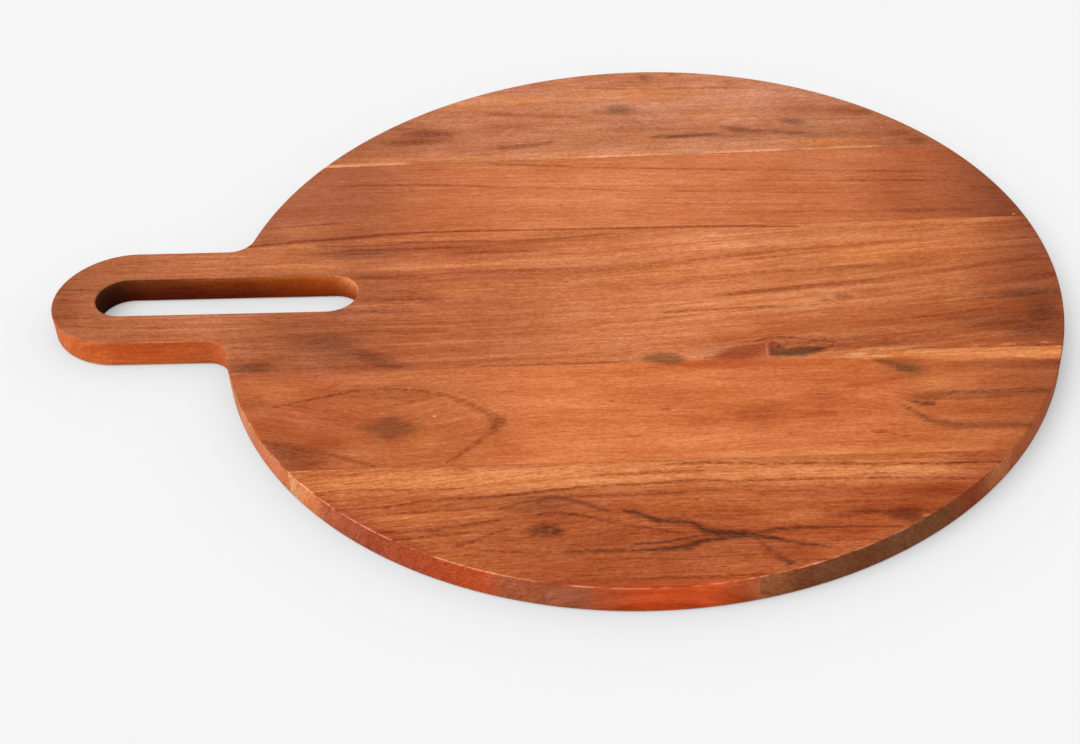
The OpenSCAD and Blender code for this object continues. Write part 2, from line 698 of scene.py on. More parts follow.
class Stain(Enum):
    """What a mark does to the wood's colour: the stain's own colour, and how it is laid on."""

    EDGE = ((0.42, 0.088, 0.028), Laying.BLEND)
    GLOW = ((0.76, 0.25, 0.080), Laying.BLEND)
    SAP = ((0.86, 0.36, 0.165), Laying.BLEND)
    RUST = ((0.78, 0.60, 0.50), Laying.PRODUCT)
    UMBER = ((0.46, 0.33, 0.25), Laying.PRODUCT)
    SMOKE = ((0.42, 0.44, 0.47), Laying.PRODUCT)
    CHAR = ((0.22, 0.27, 0.29), Laying.PRODUCT)

    @property
    def colour(self) -> Colour:
        """The stain's colour."""
        return self.value[0]

    @property
    def laying(self) -> Laying:
        """How the stain is laid on."""
        return self.value[1]

    @property
    def beading(self) -> float:
        """How far the stain sits in the pores, so that its lines break into dots."""
        return {Stain.UMBER: 0.55, Stain.CHAR: 0.25}.get(self, 0.0)


class Edge(Enum):
    """Which of the board's places a mark follows: true, slightly wavy or ragged."""

    TRUE = "place"
    WAVY = "wavy"
    RAGGED = "ragged"


@dataclass(frozen=True)
class Spot:
    """A soft spot on the serving face, in millimetres and degrees; point 1 makes it a diamond."""

    x: float
    y: float
    half_x: float
    half_y: float
    strength: float
    turn: float = 0.0
    core: float = 0.1
    point: float = 0.0
    edge: Edge = Edge.RAGGED

    def mask(self, graph: Graph, board: Signals) -> Signal:
        """Places the spot.

        Args:
            graph: The material's graph.
            board: The board's places.

        Returns:
            The spot's mask, times its strength.
        """
        spot = graph.group(spot_group(), place=board[self.edge.value], centre=(self.x, self.y, 0),
                           core=self.core, half=(self.half_x, self.half_y, 1),
                           turn=-math.radians(self.turn), point=self.point)
        return spot["mask"] * self.strength


@dataclass(frozen=True)
class Stroke:
    """A bowed line along the grain between two x, with its heights at the left, the middle and the right."""

    left: float
    right: float
    heights: tuple[float, float, float]
    half_width: float
    strength: float
    edge: Edge = Edge.WAVY

    def mask(self, graph: Graph, board: Signals) -> Signal:
        """Places the line.

        Args:
            graph: The material's graph.
            board: The board's places.

        Returns:
            The line's mask, times its strength.
        """
        low, middle, high = self.heights
        stroke = graph.group(stroke_group(), place=board[self.edge.value], height=middle,
                             middle=(self.left + self.right) / 2, half_length=(self.right - self.left) / 2,
                             rise=(high - low) / 2, bow=(high + low) / 2 - middle, half_width=self.half_width)
        return stroke["mask"] * self.strength


@dataclass(frozen=True)
class Check:
    """A drying check or a ring line as a chain of points, each with x, y and half width."""

    points: tuple[tuple[float, float, float], ...]
    strength: float
    edge: Edge = Edge.WAVY

    def mask(self, graph: Graph, board: Signals) -> Signal:
        """Places the chain's pieces.

        Args:
            graph: The material's graph.
            board: The board's places.

        Returns:
            The largest of their masks, times the strength.
        """
        pieces = (graph.group(crack_group(), place=board[self.edge.value], start=(ax, ay, 0), end=(bx, by, 0),
                              start_width=first_width, end_width=next_width)["mask"]
                  for (ax, ay, first_width), (bx, by, next_width) in zip(self.points, self.points[1:]))
        return largest(pieces) * self.strength


Mark = Spot | Stroke | Check


@dataclass(frozen=True)
class Swirl:
    """A knot's push on the growth field, which bends the grain round it and closes into eyes if strong."""

    x: float
    y: float
    half_x: float
    half_y: float
    push: float
    turn: float = 0.0


@dataclass(frozen=True)
class Grain:
    """How strong each part of the wood's figure is, and how the grain runs."""

    seed: float
    band_width: float = 9.0
    bands: float = 1.0
    streaks: float = 0.8
    fibres: float = 0.6
    clouds: float = 0.5
    speckle: float = 0.6
    pores: float = 0.5
    lines: float = 0.4
    slope: float = 0.0
    wander: float = 3.0
    bend: float = 0.0
    bend_x: float = 0.0
    bend_width: float = 60.0


@dataclass(frozen=True)
class EdgeLook:
    """How the staves' edges look, in millimetres. Each fade has the place where it is 1 and where it is 0.

    The wall's fade counts up from the underside and down from the serving face, and the fades of the marks
    and of the painted arris highlight's foot and head count down from the serving face. The others are places
    on the board. On its right the walls' colour starts higher, and the painted highlight on the upper arris
    shows at the front of the disc.
    """

    wall: Fade = (0.9, 0.35)
    right: Fade = (100.0, 60.0)
    right_rise: float = 0.3
    marks: Fade = (0.3, 1.5)
    # Painted highlight on the upper arris: its fades in height, its spots, where it shows and how much it
    # lightens
    highlight_foot: Fade = (0.55, 0.9)
    highlight_head: Fade = (0.35, 0.12)
    highlight_cloud: Cloud = (9.0, 9.0, 3.0)
    highlight_levels: Fade = (0.62, 0.38)
    highlight_right: Fade = (108.0, 124.0)
    highlight_front: Fade = (-20.0, -16.0)
    highlight_disc: Fade = (-170.0, -195.0)
    highlight_handle: float = 0.3
    highlight_tone: float = 0.55
    slot_margin: float = 2.0
    slot_fade: float = 4.0
    # Painted shade on the slot's walls, darker towards their foot
    slot_shade_height: float = 10.0
    slot_shade_foot: float = 0.8


@dataclass(frozen=True)
class Oil:
    """How the oiled wood takes the light, and what its walls and pores add to its roughness."""

    roughness: float = 0.46
    wall_roughness: float = 0.22
    pore_roughness: float = 0.2
    gloss: float = 0.05
    pore_tone: float = 0.4
    bump: float = 0.35
    bump_height: float = 0.04 * MM


def from_top(fade: Fade) -> Fade:
    """A fade given as depths below the serving face, as heights in millimetres."""
    top = OUTLINE.thickness / MM
    return top - fade[0], top - fade[1]


EDGES = EdgeLook()
OIL = Oil()
# Size of the clouds by which the grain wanders, in millimetres, and how far its rings lean in the thickness
WANDER_CLOUD = (110.0, 38.0, 38.0)
RING_LEAN = 0.35


@dataclass(frozen=True)
class WoodFinish:
    """Oiled hardwood: its colours along the serving face and along the walls, the painted shade of a slot's
    walls, its grain, swirls and marks.
    """

    name: str
    face: Stops
    walls: Stops
    grain: Grain
    marks: dict[Stain, tuple[Mark, ...]]
    swirls: tuple[Swirl, ...] = ()
    # Painted shade on a slot's walls: their colours along the stave
    shaded_slot_walls: Stops = ()

    def field(self, graph: Graph, place: Signal) -> Signal:
        """The growth field in millimetres, whose level lines are the grain.

        It is the distance across the grain, less the grain's slope and a smooth bend
        (d + sqrt(d^2 + w^2)) / 2 of the distance d past the bend, plus slow noise and the swirls' pushes.

        Args:
            graph: The material's graph.
            place: The board's place in millimetres.

        Returns:
            The field.
        """
        grain = self.grain
        x, y, z = place.parts()
        past = x - grain.bend_x
        hinge = past + (past * past + grain.bend_width ** 2).math("SQRT")
        field = y - x * (grain.slope + math.tan(OUTLINE.skew)) - hinge * (grain.bend / 2) + z * RING_LEAN
        slow = graph.noise(place.vector("DIVIDE", WANDER_CLOUD).vector("ADD", (grain.seed, 0, 0)), detail=1.0)
        field = field + (slow - 0.5) * (grain.wander * 2)
        for swirl in self.swirls:
            spot = graph.group(spot_group(), place=place, centre=(swirl.x, swirl.y, 0),
                               half=(swirl.half_x, swirl.half_y, 1), turn=-math.radians(swirl.turn))
            field = field + spot["lift"] * swirl.push
        return field

    def ramp(self, graph: Graph, place: Signal, stops: Stops) -> Signal:
        """A colour along the stave.

        Args:
            graph: The material's graph.
            place: The board's place in millimetres.
            stops: Colours by x in millimetres, within the ramp's length.

        Returns:
            The colour, eased between the stops.
        """
        length, middle = 600.0, 0.5
        x, _, _ = place.parts()
        node = graph.tree.nodes.new("ShaderNodeValToRGB")
        graph.put(node.inputs[0], x / length + middle)
        node.color_ramp.interpolation = "EASE"
        elements = node.color_ramp.elements
        for _ in stops[2:]:
            elements.new(middle)
        for element, (at, colour) in zip(elements, stops):
            element.position = at / length + middle
            element.color = (*colour, 1.0)
        return Signal(graph, node.outputs[0])

    def marked(self, graph: Graph, colour: Signal, board: Signals, depth: Signal, laying: Laying) -> Signal:
        """Lays on the marks whose stains are laid in one way, one blend for each stain.

        Args:
            graph: The material's graph.
            colour: The wood's colour so far.
            board: The board's places.
            depth: How much of the marks shows at this depth below the serving face.
            laying: How the stains are laid on.

        Returns:
            The marked colour.
        """
        for stain in (stain for stain in Stain if stain.laying is laying and stain in self.marks):
            mask = largest(mark.mask(graph, board) for mark in self.marks[stain])
            share = board["beads"] * stain.beading + (1.0 - stain.beading) if stain.beading else 1.0
            colour = graph.blend(mask * depth * share, colour, (*stain.colour, 1.0), laying.value)
        return colour

    def wall(self, graph: Graph, place: Signal) -> Signal:
        """The colour of the walls: the outer ones along the stave, and painted shade on those of the slot
        where there is one.

        Args:
            graph: The material's graph.
            place: The board's place in millimetres.

        Returns:
            The colour.
        """
        colour = self.ramp(graph, place, self.walls)
        if self.shaded_slot_walls:
            x, y, z = place.parts()
            margin, fade = EDGES.slot_margin, EDGES.slot_fade
            outer, half = (OUTLINE.tip_x - OUTLINE.slot_r) / MM, OUTLINE.slot_r / MM
            inner = (OUTLINE.tip_x + OUTLINE.slot_run + OUTLINE.slot_r) / MM
            inside = x.fade(outer, outer - fade) * x.fade(inner + margin, inner + fade)
            inside = inside * y.size().fade(half + margin, half + fade)
            # Painted shade in the slot: dark at the handle's tip end, lighter towards the disc, and darker
            # towards the foot
            slot_shade_colour = self.ramp(graph, place, self.shaded_slot_walls)
            tone = z / EDGES.slot_shade_height - EDGES.slot_shade_foot
            shade = graph.group(toned_group(), colour=slot_shade_colour, tone=tone)
            colour = graph.blend(inside, colour, shade["colour"])
        return colour

    def arris_highlight(self, graph: Graph, place: Signal) -> Signal:
        """Painted highlight on the upper arris, broken into spots, at the front of the disc and faintly at
        the handle.

        Args:
            graph: The material's graph.
            place: The board's place in millimetres.

        Returns:
            A mask of the painted highlight.
        """
        x, y, z = place.parts()
        spots = graph.noise(place.vector("DIVIDE", EDGES.highlight_cloud), detail=2.0).fade(*EDGES.highlight_levels)
        # The painted highlight fades out on the right of the disc and behind its front edge
        spots = spots * x.fade(*EDGES.highlight_right) * y.fade(*EDGES.highlight_front)
        spots = spots * (x.fade(*EDGES.highlight_disc) * (1.0 - EDGES.highlight_handle) + EDGES.highlight_handle)
        return z.fade(*from_top(EDGES.highlight_foot)) * z.fade(*from_top(EDGES.highlight_head)) * spots

    def material(self) -> bpy.types.Material:
        """Makes the material, whose light on the floor is a plain grey so that the shadows stay neutral.

        Returns:
            A material whose colour, roughness and bump come from the wood's figure.
        """
        material, graph, shader = new_material(self.name)
        board = graph.group(place_group())
        place, grain = board["place"], self.grain
        x, _, z = place.parts()
        figure = graph.group(figure_group(), place=place, field=self.field(graph, place), seed=grain.seed,
                             band_width=grain.band_width, bands=grain.bands, streaks=grain.streaks,
                             fibres=grain.fibres, clouds=grain.clouds, speckle=grain.speckle,
                             pores=grain.pores, lines=grain.lines)
        raised = z - x.fade(*EDGES.right) * EDGES.right_rise
        side = raised.fade(*from_top(EDGES.wall)) * z.fade(*EDGES.wall)
        depth = z.fade(*from_top(EDGES.marks))
        colour = self.marked(graph, self.ramp(graph, place, self.face), board, depth, Laying.BLEND)
        colour = graph.blend(side, colour, self.wall(graph, place))
        # The painted arris highlight lightens the tone
        tone = figure["tone"] + self.arris_highlight(graph, place) * EDGES.highlight_tone - figure["dark"] * OIL.pore_tone
        colour = graph.group(toned_group(), colour=colour, tone=tone)["colour"]
        colour = self.marked(graph, colour, board, depth, Laying.PRODUCT)
        rays = material.node_tree.nodes.new("ShaderNodeLightPath").outputs
        bounced = Signal(graph, rays["Is Diffuse Ray"])
        graph.put(shader.inputs["Base Color"], graph.blend(bounced, colour, BOUNCE_GREY))
        roughness = side * OIL.wall_roughness + figure["pores"] * OIL.pore_roughness + OIL.roughness
        graph.put(shader.inputs["Roughness"], roughness)
        shader.inputs["Specular IOR Level"].default_value = OIL.gloss
        relief = figure["fibres"] - figure["pores"]
        bump = graph.node("ShaderNodeBump", OIL.bump, OIL.bump_height, None, relief)
        graph.put(shader.inputs["Normal"], bump)
        return material


# The growth line along the second seam, which both of its staves share
SEAM_LINE = Check(((-200, 39.0, 1.6), (-182, 41.4, 2.0), (-167, 42.9, 2.2), (-146, 45.0, 2.2),
                   (-129, 47.0, 2.2), (-109, 48.3, 1.6), (-70, 48.4, 1.4), (-30, 47.9, 1.6),
                   (10, 47.6, 1.8), (40, 47.4, 1.8), (58, 46.6, 1.6), (80, 45.4, 0.8)), 0.8, Edge.TRUE)
# The knot smudge that lies across the third seam
SEAM_KNOT = Spot(11.5, -56.4, 13.5, 6, 0.85, core=0.45)

BACK_WOOD = WoodFinish(
    "back_stave_wood",
    face=((-160, (0.47, 0.155, 0.065)), (-90, (0.56, 0.19, 0.085)), (-20, (0.62, 0.23, 0.11)),
          (50, (0.64, 0.24, 0.12)), (110, (0.53, 0.195, 0.09)), (160, (0.41, 0.12, 0.047))),
    walls=((-160, (0.42, 0.11, 0.03)), (160, (0.36, 0.09, 0.025))),
    grain=Grain(seed=3.1, band_width=17, bands=0.4, streaks=0.4, clouds=0.55, speckle=0.7, pores=0.3,
                lines=0.1, slope=-0.02),
    marks={
        Stain.SAP: (
            Stroke(-176, -116, (110.6, 111.7, 112.2), 2.4, 1.0),
            Stroke(-36, 26, (113.4, 114.0, 114.5), 1.1, 1.0),
            Stroke(30, 84, (114.6, 115.2, 115.6), 1.5, 0.9),
            Stroke(84, 132, (115.6, 116.2, 116.8), 1.4, 0.9),
        ),
        Stain.GLOW: (
            Stroke(-175, 40, (115, 115.5, 116), 5, 0.4), Spot(0, 176, 75, 12, 0.45),
            Spot(-60, 172, 45, 8, 0.3), Spot(6, 130, 34, 6, 0.4), Spot(45, 152, 30, 10, 0.3),
            Spot(-66, 172, 40, 9, 0.5), Spot(102, 121, 36, 7, 0.65), Spot(-38, 119, 20, 6, 0.4),
            Spot(-90, 168, 26, 8, 0.5),
        ),
        Stain.RUST: (
            Stroke(-88, -22, (160, 156, 152.5), 3.2, 0.9), Spot(52, 185, 8, 4, 0.9),
            Spot(22, 195, 4, 3, 0.9), Spot(-118, 137, 30, 12, 0.8), Spot(112, 153, 22, 8, 1.0, turn=-14),
            Spot(90, 157, 28, 10, 0.8), Spot(-120, 150, 20, 6, 0.4), Spot(60, 136, 70, 9, 0.35),
        ),
        Stain.UMBER: (
            Spot(-112, 141, 28, 10, 0.6, turn=-8), Spot(-124, 133, 32, 8, 0.6), Spot(-108, 140, 16, 5, 0.7),
            Stroke(-142, -118, (147.5, 146.5, 145), 2.0, 0.6), Stroke(-30, 2, (184, 182.6, 181), 1.4, 0.8),
            Stroke(-84, -48, (181.5, 182, 182), 1.0, 0.5), Stroke(12, 72, (181.4, 180.0, 178.4), 1.8, 0.6),
            Stroke(-80, -40, (124.4, 125.6, 131), 3.8, 0.7, Edge.RAGGED), Spot(141, 128, 9, 7, 0.6),
            Spot(149, 121, 9, 6, 0.7), Spot(124, 150, 7, 5, 0.6), Spot(5, 193, 6, 5, 0.6),
            Spot(4, 143, 34, 12, 0.5), Spot(-8, 129, 32, 8, 0.3), Spot(40, 128, 40, 6, 0.25),
            Spot(0, 153, 26, 9, 0.3),
        ),
        Stain.SMOKE: (
            # The grey knot near the back rim
            Spot(-9, 160.5, 15, 9, 0.8), Spot(-20, 158, 8, 5, 0.4),
            Stroke(4, 50, (130.6, 131.7, 132.4), 3.4, 0.7, Edge.RAGGED),
            # The row of smudges behind the first seam
            Spot(55, 136.4, 13, 5, 0.8, turn=-14), Spot(65, 133.4, 11, 3.4, 0.7),
            Spot(76, 132.6, 10, 3.4, 0.7), Spot(86, 131.2, 12, 4.6, 0.8), Spot(95, 129.4, 10, 3.4, 0.6),
            Stroke(88, 130, (130.2, 129.6, 130.2), 3.0, 0.25), Spot(86, 143, 13, 5.4, 0.75, turn=-18),
            Spot(56, 132, 56, 8, 0.25), Spot(-112, 133, 22, 5, 0.25), Spot(4, 193, 5, 4, 0.4),
            Spot(37, 197, 4, 2, 0.7), Spot(47, 194, 4, 2, 0.6), Spot(-112, 141, 20, 6, 0.4),
        ),
        Stain.CHAR: (
            Stroke(16, 33, (131.5, 131.5, 131.6), 1.8, 0.55),
            Stroke(28, 48, (132.0, 132.4, 132.9), 1.4, 0.45),
        ),
    },
)
REAR_INNER_WOOD = WoodFinish(
    "rear_inner_wood",
    face=((-192, (0.42, 0.12, 0.048)), (-150, (0.44, 0.12, 0.046)), (-90, (0.6, 0.17, 0.06)),
          (-30, (0.68, 0.21, 0.075)), (35, (0.67, 0.2, 0.075)), (100, (0.59, 0.17, 0.06)),
          (145, (0.46, 0.115, 0.038)), (190, (0.24, 0.055, 0.019))),
    walls=((-195, (0.46, 0.13, 0.045)), (-120, (0.4, 0.09, 0.025)), (190, (0.28, 0.07, 0.02))),
    grain=Grain(seed=7.7, band_width=9, bands=0.22, streaks=0.32, fibres=0.65, clouds=0.4, speckle=0.5,
                pores=0.4, lines=0.35, slope=0.03, wander=1.2, bend=-0.075, bend_x=-100, bend_width=50),
    marks={
        Stain.GLOW: (
            Spot(188, 51.5, 1.2, 1.2, 0.9, edge=Edge.TRUE), Spot(-170, 53, 28, 9, 0.35),
        ),
        Stain.RUST: (
            SEAM_LINE, Spot(-140, 76, 34, 20, 0.35), Spot(70, 80, 24, 16, 0.25), Spot(130, 80, 30, 22, 0.3),
            Spot(112, 100, 20, 6, 0.5),
        ),
        Stain.UMBER: (
            SEAM_LINE, Stroke(-174, -60, (92, 91.4, 86), 1.6, 0.75),
            Stroke(-80, 0, (88.2, 84.6, 81), 1.2, 0.6), Stroke(-82, -24, (110.2, 107.0, 103.6), 1.8, 0.7),
            Stroke(-40, 70, (104.8, 100.6, 96.4), 1.5, 0.65), Stroke(56, 166, (97.4, 94.0, 90.6), 1.4, 0.6),
            Stroke(48, 104, (88.8, 86.6, 84.8), 1.0, 0.6), Stroke(98, 170, (84.8, 84.0, 81.8), 1.6, 0.75),
            Stroke(-196, -146, (54.0, 56.6, 58.8), 1.1, 0.7), Stroke(-30, 70, (82.6, 79.4, 77), 0.8, 0.45),
            Stroke(-90, 10, (65, 63, 61.6), 0.8, 0.4), Stroke(0, 110, (69.6, 66.4, 64.0), 0.8, 0.45),
            Stroke(20, 130, (61.0, 58.6, 56.4), 0.8, 0.5), Stroke(60, 150, (76, 74.4, 73), 0.7, 0.4),
            Stroke(120, 175, (57.6, 56.6, 56.2), 2.6, 0.6),
        ),
    },
)
HANDLE_WOOD = WoodFinish(
    "handle_stave_wood",
    face=((-290, (0.39, 0.11, 0.042)), (-262, (0.47, 0.14, 0.05)), (-215, (0.55, 0.165, 0.065)),
          (-165, (0.43, 0.125, 0.048)), (-90, (0.51, 0.135, 0.048)), (-25, (0.61, 0.185, 0.065)),
          (35, (0.69, 0.22, 0.08)), (95, (0.63, 0.2, 0.07)), (150, (0.53, 0.15, 0.047)),
          (198, (0.32, 0.08, 0.027))),
    walls=((-288, (0.72, 0.2, 0.065)), (-272, (0.67, 0.135, 0.031)), (-250, (0.59, 0.105, 0.02)),
           (-205, (0.58, 0.11, 0.024)), (-188, (0.64, 0.12, 0.027)), (190, (0.3, 0.09, 0.031))),
    # Painted shade in the slot: near black at the tip end, lighter towards the disc
    shaded_slot_walls=((-268, (0.05, 0.01, 0.003)), (-240, (0.165, 0.025, 0.004)), (-200, (0.25, 0.04, 0.004)),
                (-172, (0.38, 0.065, 0.006)), (-156, (0.52, 0.09, 0.01)), (-140, (0.73, 0.18, 0.048))),
    grain=Grain(seed=1.3, band_width=11, bands=0.4, streaks=0.65, fibres=0.65, clouds=0.35, speckle=0.6,
                pores=0.5, lines=0.35, bend=0.11, bend_x=-10),
    marks={
        Stain.EDGE: (
            # The reddish wedge left of the dark knot
            Check(((30, -56.8, 1.2), (44, -54.0, 7.0), (57.4, -51.3, 11.5)), 0.85),
        ),
        Stain.SAP: (
            Spot(99, -55.6, 8, 1.3, 1.2, edge=Edge.WAVY), Spot(112, -52.4, 10, 0.9, 0.6, edge=Edge.WAVY),
            Stroke(96, 124, (-53.4, -52.8, -52.4), 0.7, 0.5),
        ),
        Stain.GLOW: (
            Stroke(-150, 0, (20, 20.4, 24.4), 5.0, 0.45), Stroke(-82, 40, (2, 5.4, 17), 1.5, 0.5),
            Stroke(98, 196, (45, 46.8, 49), 3.2, 0.6), Stroke(-240, -120, (28, 26.5, 24), 3.0, 0.35),
            Stroke(10, 120, (-18.5, -16, -10), 2.6, 0.3),
            Stroke(-128, -82, (-28.0, -28.4, -28.6), 1.0, 0.4),
            Stroke(-138, -98, (-11.2, -11.4, -11.6), 1.0, 0.35),
            Stroke(16, 52, (-24.6, -22.0, -20.0), 0.9, 0.6),
            Stroke(68, 92, (-47.4, -48.0, -47.4), 1.2, 0.25), Stroke(60, 190, (36, 39, 41), 4, 0.25),
            Check(((99, -52.6, 1.0), (106, -51.6, 1.6), (114, -52.2, 1.7), (124, -51.8, 0.9)), 0.9),
            Check(((94, -57.4, 1.0), (112, -57.0, 2.6), (124, -56.4, 3.8), (210, -55.0, 4.0)), 1.6),
            # The pale line between wedge and knot
            Check(((58.4, -45.5, 0.7), (58.8, -57.4, 0.7)), 0.6, Edge.TRUE), Spot(-166, 21, 42, 8, 0.6),
            Spot(2, 16, 28, 8, 0.4), Spot(110, 19, 28, 9, 0.8), Spot(12, 11, 24, 8, 0.6),
            Spot(-88, 0, 24, 8, 0.5), Spot(-172, 40, 22, 7, 0.5), Spot(118, 28, 78, 17, 0.6),
            Spot(40, 12, 66, 14, 0.35), Spot(-182, 31, 40, 15, 0.4),
            Stroke(-150, -40, (43, 43.5, 43.5), 5, 0.4), Spot(168, -50.9, 6, 1.2, 0.8),
            Spot(186, -50.6, 5, 1.2, 0.8), Spot(152, -51.2, 6, 1.0, 0.5),
        ),
        Stain.RUST: (
            SEAM_LINE, Stroke(-136, -30, (35.5, 33.4, 36), 6.0, 0.4),
            Spot(47, -53, 18, 8, 0.95, turn=20, core=0.5, point=0.4, edge=Edge.WAVY),
            Stroke(30, 215, (-36, -29, -23), 15, 0.8), Spot(48, -42, 52, 9, 0.6),
            Spot(-60, -30, 44, 16, 0.3), Spot(-128, -58, 32, 8, 0.7),
            Stroke(70, 190, (-49, -48, -48), 5, 0.8), Spot(110, -44, 50, 9, 0.8),
            Spot(-150, -30, 34, 20, 0.4), Spot(70, -46, 52, 9, 0.9), Spot(98, -50, 34, 6, 0.9),
            Spot(112, -10, 18, 7, 0.6), Spot(166, -36, 32, 13, 0.7), Spot(16, -43, 34, 8, 0.5),
            Spot(-280, -8, 12, 22, 0.4), Stroke(30, 150, (21, 26, 34), 3.0, 0.35),
            Stroke(50, 150, (5, 10, 13), 3.0, 0.35), Stroke(30, 140, (-10, -4, 2), 3.0, 0.5),
            Spot(100, -12, 9, 5, 0.5), Spot(172, 4, 30, 18, 0.4),
        ),
        Stain.UMBER: (
            SEAM_LINE, Stroke(-136, -62, (40.2, 39.8, 39), 1.5, 0.75),
            Stroke(-68, -6, (38.8, 40.6, 44.4), 1.4, 0.75),
            Stroke(-168, -112, (38.6, 38.0, 38.0), 1.3, 0.65),
            Stroke(-154, -76, (34.0, 34.4, 34.8), 1.7, 0.65), Stroke(-102, -44, (30, 30, 30.6), 1.5, 0.75),
            Stroke(-92, 30, (15.6, 12.6, 19), 4.0, 0.5), Stroke(-144, -98, (11.2, 10.8, 10.4), 3.0, 0.65),
            Stroke(-64, -30, (3.0, 3.2, 3.8), 1.2, 0.5), Stroke(-142, -92, (-6, -6.6, -7), 3.2, 0.7),
            Stroke(-156, -102, (-15, -16.2, -17), 3.0, 0.6),
            Stroke(-140, -88, (-30.6, -31, -31.4), 2.4, 0.55), Stroke(6, 76, (-22.8, -20, -18.6), 1.3, 0.9),
            Stroke(2, 78, (13.0, 21, 25.4), 2.6, 0.5), Stroke(52, 138, (23.2, 28.0, 31.8), 2.4, 0.55),
            Stroke(44, 100, (18.6, 21, 26), 1.2, 0.5), Stroke(14, 130, (0.8, 9.0, 11.6), 2.4, 0.5),
            Stroke(28, 122, (-10.6, -5.0, 0.4), 2.6, 0.6), Stroke(30, 110, (-23.4, -19.6, -17.4), 1.3, 0.4),
            Stroke(126, 206, (1, 10.2, 19.4), 3.0, 0.5), Stroke(146, 206, (-8.4, -3.8, 2.6), 3.4, 0.55),
            Stroke(148, 206, (-17.6, -13.4, -11), 4.8, 0.6),
            Stroke(122, 174, (-29.8, -27, -22.8), 1.9, 0.65),
            Stroke(84, 124, (-44.4, -45, -42.6), 1.2, 0.5), Stroke(110, 196, (38, 40, 42), 0.9, 0.35),
            Stroke(-146, -110, (1.4, 0.2, -0.6), 1.8, 0.4), Stroke(-280, -196, (-21.6, -25, -25), 0.9, 0.6),
            Stroke(-276, -200, (-29.5, -30.5, -30), 0.8, 0.35), Stroke(-290, -258, (8, 6.6, 5.6), 1.8, 0.6),
            Stroke(-290, -256, (-14, -16, -17), 1.8, 0.6), Stroke(-250, -120, (33.5, 33, 31), 1.2, 0.35),
            Spot(-182, -56.5, 18, 7, 0.5), Spot(184, -36, 28, 16, 0.6),
            Spot(-126, -51, 30, 7, 0.5, turn=-22), Spot(128, -43, 50, 10, 0.4), Spot(86, -47.6, 36, 7, 0.5),
            Spot(162, -36, 26, 10, 0.35), Stroke(116, 200, (-52.5, -52.2, -52.4), 0.9, 0.7, Edge.TRUE),
            Stroke(-62, 2, (-59.6, -58.6, -57.4), 1.2, 0.6), Spot(137, 42.5, 2.4, 1.6, 0.7),
            Spot(133, 38.7, 2.4, 1.2, 0.6), Spot(151, 43, 2.4, 1.2, 0.6),
            Stroke(-194, -174, (-42, -42, -42.4), 1.0, 0.7), Spot(-80, -59, 6, 1.4, 0.6),
            # The rings over the dark knot
            Check(((54, -44.6, 1.2), (60, -42.6, 1.6), (66, -42.2, 1.6), (73, -43.6, 1.5), (84, -45.4, 1.4),
                   (91, -47.2, 1.2)), 0.85),
            Check(((66, -42.4, 1.2), (68.6, -45.4, 1.3), (67, -47.6, 1.2)), 0.7),
        ),
        Stain.SMOKE: (
            Spot(40, -50, 28, 10, 0.3), Spot(86, -45, 36, 9, 0.25), Spot(113, -49.5, 18, 6, 0.4),
            Spot(163, -33, 28, 14, 0.35), Spot(-140, -50.5, 18, 9, 0.35), SEAM_KNOT,
            Spot(-136, 31.2, 30, 7.0, 0.5), Spot(-146, -39, 25, 11, 0.6),
            Spot(-124, -51.4, 28, 7, 0.5, turn=-22), Spot(-113, -57.2, 16, 4, 0.45),
            Spot(97, -11.8, 6, 5, 0.65), Spot(88, -14.6, 5, 3, 0.4), Spot(182, -14, 26, 6, 0.55),
            Spot(188, -27, 11, 14, 0.5),
            # The dark knot on the third seam
            Spot(74, -53, 17, 5.2, 1.0, turn=8, core=0.45, point=0.3, edge=Edge.WAVY),
            Spot(178, -42, 16, 8, 0.4), Spot(64.4, -52.6, 5.4, 5.5, 0.9, core=0.5, edge=Edge.WAVY),
            Spot(-181, -56.6, 16, 6, 0.6),
        ),
        Stain.CHAR: (
            # The black core and the left end of the dark knot
            Check(((62, -54.6, 1.6), (70, -54, 3.2), (78, -52.4, 3.0), (84, -51, 2.0),
                   (89, -49.4, 1.0)), 0.6),
            Check(((60.6, -54.6, 1.5), (60.6, -49.4, 1.9), (61.8, -46.4, 1.9), (64.2, -47.4, 1.4),
                   (64, -49.6, 1.2)), 0.7),
        ),
    },
)
